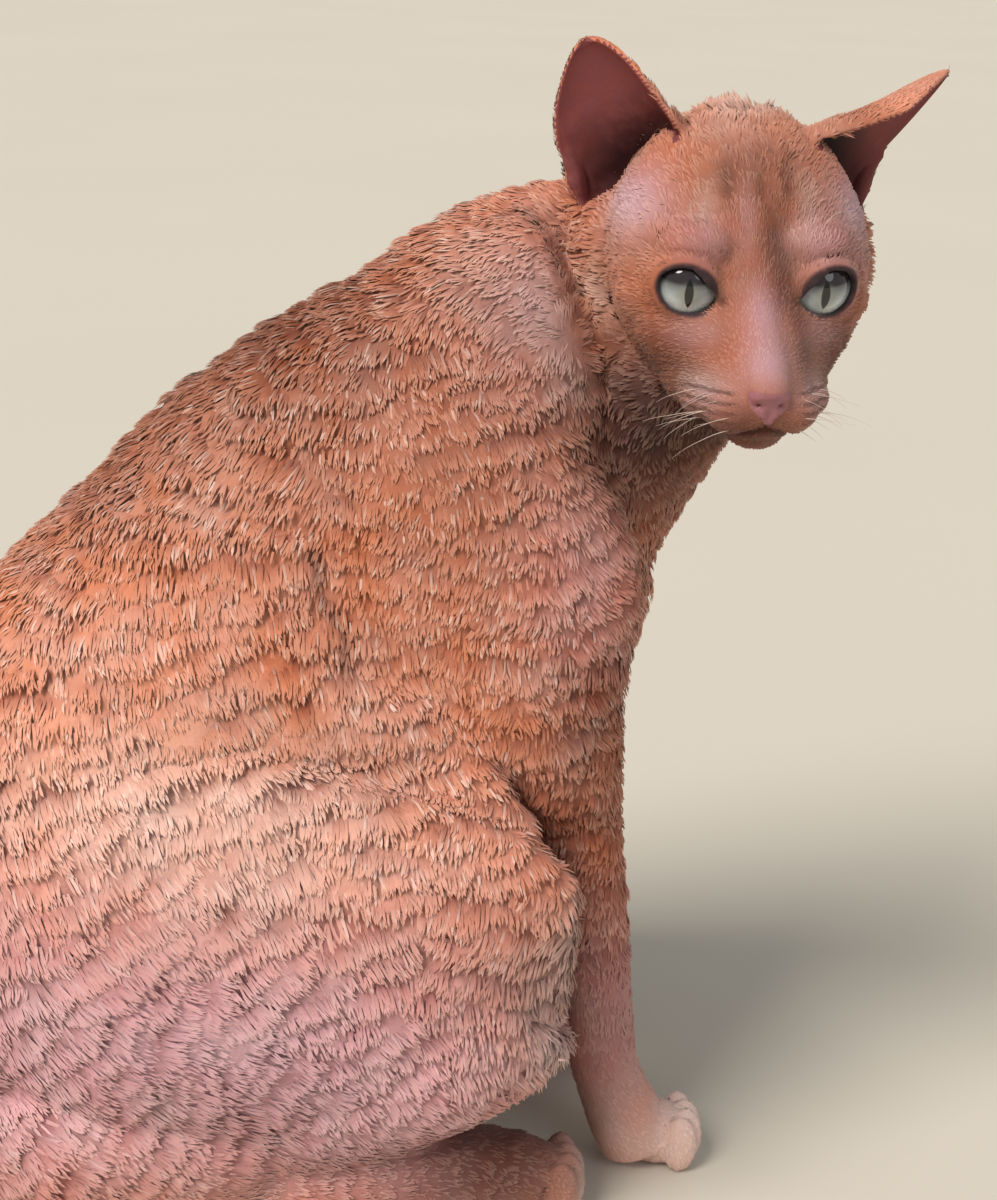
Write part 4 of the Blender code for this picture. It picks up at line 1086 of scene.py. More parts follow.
class Surface:
    """A still copy of the skin, in millimetres, on which the coat is worked out."""

    def __init__(self, mesh):
        self.places = vertex_array(mesh) / MM
        self.normals = vertex_array(mesh, "normal")
        mesh.calc_loop_triangles()
        corners = np.empty(len(mesh.loop_triangles) * 3, np.int32)
        mesh.loop_triangles.foreach_get("vertices", corners)
        self.triangles = corners.reshape(-1, 3)
        self.tree = BVHTree.FromPolygons(self.places.tolist(), self.triangles.tolist())
        a, b, c = (self.places[self.triangles[:, i]] for i in range(3))
        self.areas = np.linalg.norm(np.cross(b - a, c - a), axis=1) / 2

    def nearest(self, points):
        """The nearest places on the skin, the smooth normals there and the triangles hit."""
        hits = [self.tree.find_nearest(point) for point in points.tolist()]
        spots = np.array([hit[0] for hit in hits])
        faces = np.array([hit[2] for hit in hits])
        return spots, self.smooth_normals(spots, faces), faces

    def shares(self, spots, faces):
        """How much of each corner of its triangle a spot has."""
        a, b, c = (self.places[self.triangles[faces, i]] for i in range(3))
        one, two, off = b - a, c - a, spots - a
        d00, d01, d11 = (one * one).sum(1), (one * two).sum(1), (two * two).sum(1)
        d20, d21 = (off * one).sum(1), (off * two).sum(1)
        whole = np.maximum(d00 * d11 - d01 * d01, 1e-12)
        v = np.clip((d11 * d20 - d01 * d21) / whole, 0, 1)
        w = np.clip((d00 * d21 - d01 * d20) / whole, 0, 1)
        return np.stack([np.clip(1 - v - w, 0, 1), v, w], 1)

    def smooth_normals(self, spots, faces):
        shares = self.shares(spots, faces)
        blended = sum(self.normals[self.triangles[faces, i]] * shares[:, i, None] for i in range(3))
        return unit(blended)


def unit(vectors):
    return vectors / np.maximum(np.linalg.norm(vectors, axis=1), 1e-9)[:, None]


def flattened(vectors, normals):
    """The vectors laid flat on the surface with these normals, one long."""
    return unit(vectors - normals * (vectors * normals).sum(1)[:, None])


def head_space(points):
    """The points in the head's space, still on Blender's axes, in millimetres."""
    turn = np.array(head_frame().to_3x3())
    origin = np.array(at(HEAD_PLACE)) / MM
    return (points - origin) @ turn


def out_of_head(place):
    spot = head_frame() @ at(place)
    return np.array(spot) / MM


def both_sides(rows):
    """Each row, and its mirror image where it lies off the middle."""
    for (left, forward, up), value in rows:
        yield (left, forward, up), value, 1
        if left:
            yield (-left, forward, up), value, -1


def lie_guides():
    """Where the guides of the lie are and which way they point, on Blender's axes."""
    places, ways = [], []
    for place, way, side in both_sides(LIE):
        places.append(np.array(at(place)) / MM)
        ways.append((side * way[0], -way[1], way[2]))
    turn = np.array(head_frame().to_3x3())
    for place, way, side in both_sides(HEAD_LIE):
        places.append(out_of_head(place))
        ways.append(turn @ np.array((side * way[0], -way[1], way[2])))
    for one, two in zip(TAIL[1:], TAIL[2:]):
        run = at(two[0]) - at(one[0])
        places.append(np.array((at(one[0]) + at(two[0])) / 2) / MM)
        ways.append(run.normalized())
    for name in EARS:
        for v in (0.25, 0.55, 0.85):
            root, tip = ear_spot(name, 0, v - 0.1), ear_spot(name, 0, v + 0.1)
            places.append(np.array(head_frame() @ ((root + tip) / 2 * MM)) / MM)
            ways.append(turn @ np.array((tip - root).normalized()))
    return np.array(places), unit(np.array([tuple(way) for way in ways]))


def style_guides():
    places, values = [], []
    for place, value, _ in both_sides(BODY_STYLE):
        places.append(np.array(at(place)) / MM)
        values.append(value)
    for place, value, _ in both_sides(HEAD_STYLE):
        places.append(out_of_head(place))
        values.append(value)
    for place, _, _ in TAIL[2:]:
        places.append(np.array(at(place)) / MM)
        values.append(TAIL_STYLE)
    for name in EARS:
        for v in (0.3, 0.6, 0.9):
            places.append(np.array(head_frame() @ (ear_spot(name, 0, v) * MM)) / MM)
            values.append(EAR_STYLE)
    return np.array(places), np.array(values, float)


def guided(points, guides, softness, power=1.6):
    """Values at the points, blended between the guides by their distance."""
    places, values = guides
    total = np.zeros(len(points))
    result = np.zeros((len(points), values.shape[1]))
    for place, value in zip(places, values):
        weight = 1.0 / (((points - place) ** 2).sum(1) + softness) ** power
        total += weight
        result += weight[:, None] * value
    return result / total[:, None]


def lie_at(points, normals):
    return flattened(guided(points, lie_guides(), 60.0), normals)


def style_at(points):
    return guided(points, style_guides(), 40.0)


def patches(points, rows):
    """How strongly a marking shows: soft patches, on both sides, that add up to at most 1."""
    clear = np.ones(len(points))
    for (left, forward, up), radii, strength, *alone in rows:
        for side in (1,) if alone or not left else (1, -1):
            off = (points - np.array((side * left, -forward, up))) / np.array(radii)
            clear *= 1 - strength * np.exp(-(off * off).sum(1))
    return 1 - clear


def gaze_reach(spots):
    """How far each spot is from the nearer eye's axis, in sizes of the lids' opening."""
    reach = np.full(len(spots), 99.0)
    for side in (-1, 1):
        left, forward, up = eye_place(side)
        own = (spots - np.array((left, -forward, up))) @ np.array(lid_turn(side))
        away = np.hypot(own[:, 0] / LID_OPENING[0], own[:, 2] / LID_OPENING[1])
        away[own[:, 1] > -2.0] = 99.0
        reach = np.minimum(reach, away)
    return reach


def ear_marks(points, reach=3.4):
    """For points on an ear: 1 inside the cup and -1 behind it, and the place along the ear."""
    inside = np.zeros(len(points))
    height = np.zeros(len(points))
    edge = np.zeros(len(points))
    for sheet in made_skin["sheets"].values():
        near = np.linalg.norm(points - sheet["places"].mean(0), axis=1) < 60
        for row in np.nonzero(near)[0]:
            spot, normal, face, _ = sheet["tree"].find_nearest(points[row], reach)
            if spot is None:
                continue
            s, v = sheet["marks"][sheet["faces"][face]].mean(0)
            if v < 0.03:
                continue
            front = (Vector(points[row]) - spot).dot(normal) * sheet["facing"]
            inside[row] = 1.0 if front > 0 else -1.0
            height[row] = v
            edge[row] = abs(s)
    return inside, height, edge


def crease_distance(points):
    line = np.array([(left, -forward, up) for left, forward, up in FLANK_CREASE])
    return line_distance(points, line)


def markings(points):
    """The named tones of skin and coat at the points, each from 0 to 1."""
    own = head_space(points)
    middle, radii = (np.array(part) for part in HEAD_MARKS)
    away = np.linalg.norm((own - middle) / radii, axis=1)
    in_head = soft_step(-away, -1.1, -0.92)
    rust, cream, lilac = (
        patches(points, body) * (1 - in_head) + patches(own, head) * in_head
        for body, head in ((RUST, HEAD_RUST), (CREAM, HEAD_CREAM), (LILAC, HEAD_LILAC))
    )
    # Dark brown markings, together with the painted shade of the rows that say so.
    umber = 1 - (1 - patches(points, UMBER_AND_SHADE)) * (1 - patches(own, HEAD_UMBER_AND_SHADE) * in_head)
    # Painted shade along the crease down the flank.
    umber = 1 - (1 - umber) * (1 - 0.7 * np.exp(-(crease_distance(points) / 1.8) ** 2))
    up, forward = points[:, 2], -points[:, 1]
    bars = 0.5 + 0.5 * np.sin(2 * math.pi * (up + 0.25 * forward) / BAR_PITCH)
    leg = soft_step(forward, 146, 156) * soft_step(-up, -165, -140) * soft_step(up, 55, 90)
    rust = np.clip(rust + 0.5 * leg * bars * bars, 0, 1)
    behind = np.maximum(soft_step(-forward, 84, 100), soft_step(points[:, 0], 84, 92))
    tail = soft_step(-up, -26, -20) * behind
    rings = 0.5 + 0.5 * np.sin(2 * math.pi * (points[:, 0] - 1.2 * forward) / RING_PITCH)
    rust = np.clip(rust + 0.55 * tail * rings, 0, 1)
    reach = gaze_reach(own)
    rim = soft_step(-reach, -1.17, -1.03) * in_head
    stripes = 0.8 * whisker_stripes(own)
    for line in (made_skin["mouth"], made_skin["philtrum"]):
        stripes = np.maximum(stripes, 0.9 * np.exp(-(line_distance(own, line) / 1.2) ** 2))
    umber = 1 - (1 - umber) * (1 - stripes * in_head)
    return {
        "rust": rust, "umber": umber, "cream": cream, "lilac": lilac, "rim": rim,
        "reach": reach, "head": in_head,
    }


def whisker_stripes(own):
    """Dark lines through the roots of the whiskers, on the pads of the muzzle."""
    left, forward, up = np.abs(own[:, 0]), -own[:, 1], own[:, 2]
    height = up - 0.13 * (forward - 12)
    line = np.exp(-(((height + 27.5) % 2.6 - 1.3) / 0.5) ** 2)
    pad = soft_step(left, 7.5, 10) * soft_step(forward, 2, 6)
    return line * pad * soft_step(height, -35.5, -34.5) * soft_step(-height, 24.5, 26)


def seats_on(surface, weights, count, draw):
    """Random places on the skin: triangles picked by weight and area, and a spot in each."""
    a, b, c = (surface.places[surface.triangles[:, i]] for i in range(3))
    sums = np.cumsum(surface.areas * weights)
    faces = np.searchsorted(sums, draw.random(count) * sums[-1])
    one, two = draw.random(count), draw.random(count)
    over = one + two > 1
    one[over], two[over] = 1 - one[over], 1 - two[over]
    spots = a[faces] + (b - a)[faces] * one[:, None] + (c - a)[faces] * two[:, None]
    return spots, faces


def wave_crests(surface, scale, draw):
    """Seats of the coat's waves: crescent crests across the lie, spread evenly over the body."""
    spots, faces = seats_on(surface, np.ones(len(surface.triangles)), 16000, draw)
    normals = surface.smooth_normals(spots, faces)
    styles = style_at(spots)
    ways = lie_at(spots, normals)
    keep = styles[:, 0] > 0.22
    spots, normals, styles, ways = (part[keep] for part in (spots, normals, styles, ways))
    crests = np.cross(normals, ways)
    rows = []
    # The first round lines the crests up side by side, the second fills what is left open.
    for aligned in (True, False):
        for row in range(len(spots)):
            if len(rows):
                off = spots[row] - spots[rows]
                u = np.abs(off @ crests[row]) / (0.42 * styles[row, 2])
                v = np.abs(off @ ways[row]) / (0.8 * styles[row, 1])
                near = np.abs(off @ normals[row]) < 12
                if (near & (u * u + v * v < 1)).any():
                    continue
                if aligned and (near & (u < 2.1) & (v > 0.25) & (v < 0.9)).any():
                    continue
            rows.append(row)
    rows = np.array(rows)
    turns = np.radians(styles[rows, 3]) * draw.uniform(-1, 1, len(rows))
    ways, crests = ways[rows], crests[rows]
    cosines, sines = np.cos(turns)[:, None], np.sin(turns)[:, None]
    size = draw.uniform(0.75, 1.25, (len(rows), 3))
    return {
        "places": spots[rows],
        "normals": normals[rows],
        "ways": ways * cosines + crests * sines,
        "crests": crests * cosines - ways * sines,
        "height": styles[rows, 0] * size[:, 0] * scale,
        "pitch": styles[rows, 1] * size[:, 1],
        "half": styles[rows, 2] * size[:, 2] * 0.5,
        "phase": draw.uniform(0, 6.28, len(rows)),
        "strand": draw.random(len(rows)),
    }


def rise_of(t):
    return soft_step(t, -0.85, 0.1)


def on_wave(waves, number, points):
    """The place of the points on one wave each: across it, and along the lie in pitches."""
    off = points - waves["places"][number]
    u = (off * waves["crests"][number]).sum(-1) / waves["half"][number]
    bow = 0.2 * waves["half"][number] * u * u
    wobble = 0.9 * np.sin(u * 7.0 + waves["phase"][number]) + 0.5 * np.sin(u * 17.0)
    v = (off * waves["ways"][number]).sum(-1) + bow + wobble
    return u, v / waves["pitch"][number]


def relief(waves, points, normals):
    """The height of the waved coat at the points, and which wave each belongs to, or -1."""
    cell = 27.0
    keys = np.floor(points / cell).astype(int)
    order = np.lexsort(keys.T)
    ordered = keys[order]
    starts = np.nonzero(np.any(np.diff(ordered, axis=0), axis=1))[0] + 1
    groups = {tuple(ordered[part[0]]): order[part[0]:part[-1] + 1]
              for part in np.split(np.arange(len(order)), starts)}
    height = np.zeros(len(points))
    owner = np.full(len(points), -1)
    steps = [(i, j, k) for i in (-1, 0, 1) for j in (-1, 0, 1) for k in (-1, 0, 1)]
    for number, place in enumerate(waves["places"]):
        base = np.floor(place / cell).astype(int)
        rows = [groups[key] for step in steps if (key := tuple(base + step)) in groups]
        if not rows:
            continue
        rows = np.concatenate(rows)
        u, t = on_wave(waves, number, points[rows])
        near = (np.abs(u) < 1) & (t > -0.85) & (t < 0.5)
        near &= np.abs((points[rows] - place) @ waves["normals"][number]) < 9
        near &= normals[rows] @ waves["normals"][number] > 0.3
        rows, u, t = rows[near], u[near], t[near]
        tall = waves["height"][number] * (1 - u * u) ** 0.6 * rise_of(t) * (1 - soft_step(t, 0.24, 0.46))
        higher = tall > height[rows]
        height[rows[higher]] = tall[higher]
        owner[rows[higher]] = number
    return height, owner


def bare_at(points, normals, marks, inside, own):
    """Where no tuft grows: in the ears, on the nose leather, the lids, the lips and the soles."""
    bare = inside > 0
    bare |= (nose_leather(own) > 0.3) & (marks["head"] > 0.5)
    bare |= (marks["reach"] < 1.1)
    bare |= points[:, 2] < 1.6
    bare |= (normals[:, 2] < -0.8) & (points[:, 2] < 8)
    for line in (made_skin["mouth"], made_skin["philtrum"]):
        bare |= (line_distance(own, line) < 1.1) & (marks["head"] > 0.5)
    return bare


def grow_tufts(surface, waves, draw, cover):
    """Works out all tufts of the coat: their roots, ways, lengths, widths and tones."""
    centres = surface.places[surface.triangles].mean(1)
    styles = style_at(centres)
    styles[:, 5] *= TUFT_WIDTH
    sizes = styles[:, 4] * styles[:, 5] * 0.6
    weights = cover * np.interp(styles[:, 4], *COVER_BY_LENGTH) / sizes
    count = int((surface.areas * weights).sum())
    spots, faces = seats_on(surface, weights, count, draw)
    normals = surface.smooth_normals(spots, faces)
    own = head_space(spots)
    marks = markings(spots)
    inside, _, _ = ear_marks(spots)
    keep = ~bare_at(spots, normals, marks, inside, own)
    spots, normals, faces = spots[keep], normals[keep], faces[keep]
    marks = {name: values[keep] for name, values in marks.items()}
    styles = styles[faces]
    _, owner = relief(waves, spots, normals)
    ways = lie_at(spots, normals)
    waved = owner >= 0
    ways[waved] = flattened(waves["ways"][owner[waved]], normals[waved])
    sides = np.cross(normals, ways)
    turn = np.radians(draw.normal(0, 7, len(spots)))[:, None]
    ways = ways * np.cos(turn) + sides * np.sin(turn)
    lengths = styles[:, 4] * draw.uniform(0.8, 1.2, len(spots))
    if waved.any():
        _, t = on_wave(waves, owner[waved], spots[waved])
        left_over = (TUFT_END + draw.normal(0, 0.085, len(t)) - t) * waves["pitch"][owner[waved]]
        lengths[waved] = np.clip(left_over, 0.42 * lengths[waved], 1.1 * lengths[waved])
    bend = draw.normal(0, 0.09, len(spots)) * lengths
    strand = draw.random(len(spots))
    strand[waved] = 0.6 * strand[waved] + 0.4 * waves["strand"][owner[waved]]
    # Single pale tufts among the darker ones.
    pale = (draw.random(len(spots)) < 0.12) * draw.uniform(0.2, 0.5, len(spots))
    pale *= np.clip((styles[:, 4] - 3.5) / 4, 0, 1)
    marks["cream"] = 1 - (1 - marks["cream"]) * (1 - pale)
    return {
        "spots": spots, "normals": normals, "owner": owner, "ways": ways,
        "lengths": lengths, "widths": styles[:, 5] * draw.uniform(0.75, 1.25, len(spots)),
        "lift": styles[:, 6] * draw.uniform(0.5, 1.5, len(spots)), "bend": bend,
        "strand": strand, "marks": marks,
    }


def tuft_sections(surface, waves, tufts, rows, shares):
    """Centre line and frame of the tufts at shares of their length, laid on the coat's relief."""
    spots, normals, ways = (tufts[name][rows] for name in ("spots", "normals", "ways"))
    owner = tufts["owner"][rows]
    sides = np.cross(normals, ways)
    lengths, bend = tufts["lengths"][rows][:, None], tufts["bend"][rows][:, None]
    lift = tufts["lift"][rows]
    stations = []
    for share in shares:
        if share == 0:
            places, outs = spots, normals
        else:
            guess = spots + ways * lengths * share + sides * bend * share * share
            places, outs, _ = surface.nearest(guess)
            far = (np.linalg.norm(places - guess, axis=1) > 3.5) | ((outs * normals).sum(1) < 0.3)
            places[far] = guess[far]
            outs[far] = normals[far]
        height = np.zeros(len(rows))
        # The shade tone at each station: short fur a little paler towards the tips; on waves, painted shade
        # low in the grooves and painted light up the crests, partly over a darker undercoat.
        level = np.full(len(rows), 0.74 + 0.16 * share)
        waved = owner >= 0
        number = owner[waved]
        u, t = on_wave(waves, number, places[waved])
        rise = rise_of(t)
        tall = waves["height"][number] * np.clip(1 - u * u, 0, 1) ** 0.6 * rise
        droop = 0.35 * np.clip(t - 0.42, 0, 1) * waves["pitch"][number]
        height[waved] = tall - droop
        deep = np.clip(waves["height"][number] / 1.6, 0, 1)
        lit = 0.08 + 0.72 * rise + 0.15 * soft_step(t, 0.1, 0.45)
        level[waved] = (1 - deep) * level[waved] + deep * lit
        height += -0.45 + 0.5 * min(1.0, share * 3) + lift * share**2
        stations.append((places + outs * height[:, None], outs, level))
    return stations


def write_tones(mesh, values):
    """Stores the tones on the mesh's vertices, where the materials read them."""
    for key, value in values.items():
        attribute = mesh.attributes.new(key, "FLOAT", "POINT")
        attribute.data.foreach_set("value", value.astype(np.float32))


def coat_mesh(name, surface, waves, tufts, rows, unwrap):
    """One piece of the coat: closed, flat, three-sided tufts that taper to a point."""
    long = tufts["lengths"][rows] > LONG_TUFT
    parts = [
        tuft_arrays(surface, waves, tufts, own, shares, unwrap)
        for own, shares in ((rows[long], (0.0, 0.38, 0.8, 1.0)), (rows[~long], (0.0, 0.66, 1.0)))
        if len(own)
    ]
    firsts = np.cumsum([0] + [len(part["places"]) for part in parts])
    faces = np.concatenate([part["faces"] + first for part, first in zip(parts, firsts)])
    places, normals, uvs = (
        np.concatenate([part[key] for part in parts]) for key in ("places", "normals", "uvs")
    )
    values = {
        key: np.concatenate([part["values"][key] for part in parts]) for key in parts[0]["values"]
    }
    mesh = bpy.data.meshes.new(name)
    mesh.vertices.add(len(places))
    mesh.vertices.foreach_set("co", (places * MM).astype(np.float32).ravel())
    mesh.loops.add(faces.size)
    mesh.loops.foreach_set("vertex_index", faces.astype(np.int32).ravel())
    mesh.polygons.add(len(faces))
    mesh.polygons.foreach_set("loop_start", np.arange(0, faces.size, 3, dtype=np.int32))
    mesh.update(calc_edges=True)
    mesh.shade_smooth()
    layer = mesh.uv_layers.new(name="OFBake")
    layer.data.foreach_set("uv", uvs[faces.ravel()].astype(np.float32).ravel())
    write_tones(mesh, values)
    mesh.normals_split_custom_set_from_vertices(normals.astype(np.float32))
    return linked(name, mesh)


def tuft_arrays(surface, waves, tufts, rows, shares, unwrap):
    """Vertices, normals, triangles, map and tones of the tufts, each of them one closed body."""
    stations = tuft_sections(surface, waves, tufts, rows, shares)
    count = len(rows)
    rings = len(shares) - 1
    size = rings * 3 + 1
    widths = tufts["widths"][rows]
    places = np.empty((count, size, 3))
    normals = np.empty((count, size, 3))
    shade = np.empty((count, size))
    uv = np.empty((count, size, 2))
    root = unwrap(tufts["spots"][rows])
    for ring in range(rings):
        centre, out, level = stations[ring]
        after = stations[ring + 1][0]
        before = stations[ring - 1][0] if ring else centre
        ahead = unit(after - before)
        across = unit(np.cross(out, ahead))
        top = np.cross(ahead, across)
        share = shares[ring]
        wide = (widths * (0.52 - 0.2 * share * share) * (0.85 if ring == 0 else 1.0))[:, None]
        thick = (widths * 0.2)[:, None]
        first = ring * 3
        places[:, first] = centre - across * wide
        places[:, first + 1] = centre + across * wide
        places[:, first + 2] = centre + top * thick
        facing = unit(out * 0.35 + top * 0.65)
        normals[:, first] = unit(facing - across * 0.12)
        normals[:, first + 1] = unit(facing + across * 0.12)
        normals[:, first + 2] = facing
        shade[:, first:first + 3] = level[:, None]
        for corner, step in enumerate((-0.5, 0.5, 0.0)):
            uv[:, first + corner] = root + np.array((step, share - 0.5)) * PATCH
    tip, out, level = stations[-1]
    places[:, -1] = tip
    normals[:, -1] = out
    shade[:, -1] = np.minimum(level + 0.05, 1)
    uv[:, -1] = root + np.array((0.0, 0.5)) * PATCH
    triangles = [(0, 2, 1)]
    for ring in range(rings - 1):
        a = ring * 3
        b = a + 3
        for one, two in ((0, 1), (1, 2), (2, 0)):
            triangles += [(a + one, a + two, b + two), (a + one, b + two, b + one)]
    a = (rings - 1) * 3
    triangles += [(a, a + 1, size - 1), (a + 1, a + 2, size - 1), (a + 2, a, size - 1)]
    faces = np.array(triangles)[None] + (np.arange(count) * size)[:, None, None]
    values = {"shade": shade.ravel()}
    for key in TONES:
        values[key] = np.repeat(tufts["marks"][key][rows], size)
    values["strand"] = np.repeat(tufts["strand"][rows], size)
    return {
        "places": places.reshape(-1, 3), "normals": normals.reshape(-1, 3),
        "faces": faces.reshape(-1, 3), "uvs": uv.reshape(-1, 2), "values": values,
    }


def skin_unwrap(skin):
    """A map of the skin's own shape, from a plain copy of it: gives the map place of any spot."""
    plain = linked("plain_skin", skin.data.copy())
    thinned(plain, 5000)
    bpy.context.view_layer.objects.active = plain
    plain.select_set(True)
    bpy.ops.object.mode_set(mode="EDIT")
    bpy.ops.mesh.select_all(action="SELECT")
    bpy.ops.uv.smart_project(angle_limit=math.radians(66), island_margin=0.006)
    bpy.ops.object.mode_set(mode="OBJECT")
    surface = Surface(plain.data)
    loops = np.empty(len(plain.data.loop_triangles) * 3, np.int32)
    plain.data.loop_triangles.foreach_get("loops", loops)
    layer = np.empty(len(plain.data.loops) * 2, np.float32)
    plain.data.uv_layers.active.data.foreach_get("uv", layer)
    corners = layer.reshape(-1, 2)[loops.reshape(-1, 3)]
    remove(plain)

    def unwrap(spots):
        hits, _, faces = surface.nearest(spots)
        shares = surface.shares(hits, faces)
        found = (corners[faces] * shares[:, :, None]).sum(1)
        return np.clip(found, PATCH, 1 - PATCH)

    return unwrap


def nearest_piece(points, pieces):
    """The number of the piece whose places come nearest to each point."""
    best = np.full(len(points), np.inf)
    owner = np.zeros(len(points), int)
    for number, places in enumerate(pieces.values()):
        for place in places:
            away = np.linalg.norm(points - np.array(at(place)) / MM, axis=1)
            closer = away < best
            best[closer] = away[closer]
            owner[closer] = number
    return owner


def mixed(tree, factor, one, two, kind="MIX"):
    """A colour between one and two; each of the three is a value or a socket."""
    node = add(tree, "ShaderNodeMix", {0: factor, 6: one, 7: two}, data_type="RGBA", blend_type=kind)
    return node.outputs[2]


def ranged(tree, source, low, high, to_low=0.0, to_high=1.0):
    inputs = {"Value": source, "From Min": low, "From Max": high, "To Min": to_low, "To Max": to_high}
    return add(tree, "ShaderNodeMapRange", inputs).outputs["Result"]


def object_noise(tree, size, detail=2.0):
    """Noise of this size, in metres, on the piece's own coordinates."""
    place = add(tree, "ShaderNodeTexCoord").outputs["Object"]
    inputs = {"Vector": place, "Scale": 1 / size, "Detail": detail}
    return add(tree, "ShaderNodeTexNoise", inputs).outputs["Fac"]


def bumped(tree, height, strength, distance):
    inputs = {"Strength": strength, "Distance": distance, "Height": height}
    return add(tree, "ShaderNodeBump", inputs).outputs["Normal"]


def surfaced(tree, inputs):
    """Leads a principled shader with these inputs to the material's output."""
    shader = add(tree, "ShaderNodeBsdfPrincipled", inputs)
    add(tree, "ShaderNodeOutputMaterial", {"Surface": shader.outputs["BSDF"]})


def fur_colour(tree, settings):
    """The colours of hair: named tones mixed by the markings, with painted shade in the grooves of the
    waves, over a slightly darker undercoat, and pale hair ends with a painted highlight on the crests.
    """
    marks = {
        name: add(tree, "ShaderNodeAttribute", attribute_name=name).outputs["Fac"]
        for name in (*TONES, "shade", "strand")
    }
    colour = linear(settings.salmon)
    for name in ("rust", "cream", "lilac", "umber"):
        colour = mixed(tree, marks[name], colour, linear(getattr(settings, name)))
    # Painted shade in the grooves, over a slightly darker undercoat.
    groove_shade = mixed(tree, 1.0, colour, linear(settings.groove_shade), "MULTIPLY")
    colour = mixed(tree, ranged(tree, marks["shade"], 0.15, 0.85, 0.85, 0.0), colour, groove_shade)
    # Pale hair ends, with a painted highlight where the wave crests catch the light.
    tips_and_crest_highlight = ranged(tree, marks["shade"], 0.7, 1.0, 0.0, 0.14)
    colour = mixed(tree, tips_and_crest_highlight, colour, linear(settings.tips_and_crest_highlight))
    # Patches of slightly duller and richer ticking, about 18 mm across.
    ticking = object_noise(tree, 0.018, 3.0)
    jitter = add(tree, "ShaderNodeHueSaturation", {
        "Color": colour,
        "Value": ranged(tree, marks["strand"], 0.0, 1.0, 0.91, 1.09),
        "Saturation": ranged(tree, ticking, 0.3, 0.7, 0.9, 1.12),
    })
    return mixed(tree, marks["rim"], jitter.outputs["Color"], linear(settings.lid_skin))


def hair_material(settings):
    """Curled soft hair: matt, with a soft sheen along its crests."""
    made, tree = new_material("curled_hair")
    surfaced(tree, {
        "Base Color": fur_colour(tree, settings), "Roughness": 0.62, "Specular IOR Level": 0.35,
        "Sheen Weight": 0.2, "Sheen Roughness": 0.4, "Sheen Tint": linear("#ffe2d0"),
    })
    return made


def under_fur_material(settings):
    """Skin seen through down: the coat's colours with their painted shade, and a fine hairy bump."""
    made, tree = new_material("down_over_skin")
    # Short hairs about 1.2 mm apart, which is coarser than real down.
    hairs = object_noise(tree, 0.0012)
    surfaced(tree, {
        "Base Color": fur_colour(tree, settings), "Roughness": 0.7, "Specular IOR Level": 0.3,
        "Sheen Weight": 0.15, "Normal": bumped(tree, hairs, 0.5, 0.0004),
    })
    return made


def ear_material(settings):
    """Bare, thin ear skin: red-brown, with painted shade darkening the canal, and paler towards the rim."""
    made, tree = new_material("bare_ear_skin")
    canal_shade = add(tree, "ShaderNodeAttribute", attribute_name="canal_shade").outputs["Fac"]
    veins = object_noise(tree, 0.006, 4.0)
    tone_of_skin = mixed(tree, veins, linear(settings.ear_red), linear(settings.ear_mauve))
    pores = object_noise(tree, 0.0015, 3.0)
    surfaced(tree, {
        "Base Color": mixed(tree, canal_shade, tone_of_skin, linear(settings.ear_canal_shade)),
        "Roughness": 0.55, "Specular IOR Level": 0.12, "Normal": bumped(tree, pores, 0.35, 0.0003),
    })
    return made


def leather_material(settings):
    """Nose leather: pink-mauve bare skin with a damp, pebbled grain."""
    made, tree = new_material("nose_leather")
    spots = object_noise(tree, 0.004, 3.0)
    # Pebbles of nose leather, 0.6 mm.
    place = add(tree, "ShaderNodeTexCoord").outputs["Object"]
    pebbles = add(tree, "ShaderNodeTexVoronoi", {"Vector": place, "Scale": 1 / 0.0006})
    surfaced(tree, {
        "Base Color": mixed(tree, spots, linear(settings.leather), linear(settings.leather_pale)),
        "Roughness": 0.38, "Specular IOR Level": 0.5,
        "Normal": bumped(tree, pebbles.outputs["Distance"], 0.4, 0.0002),
    })
    return made


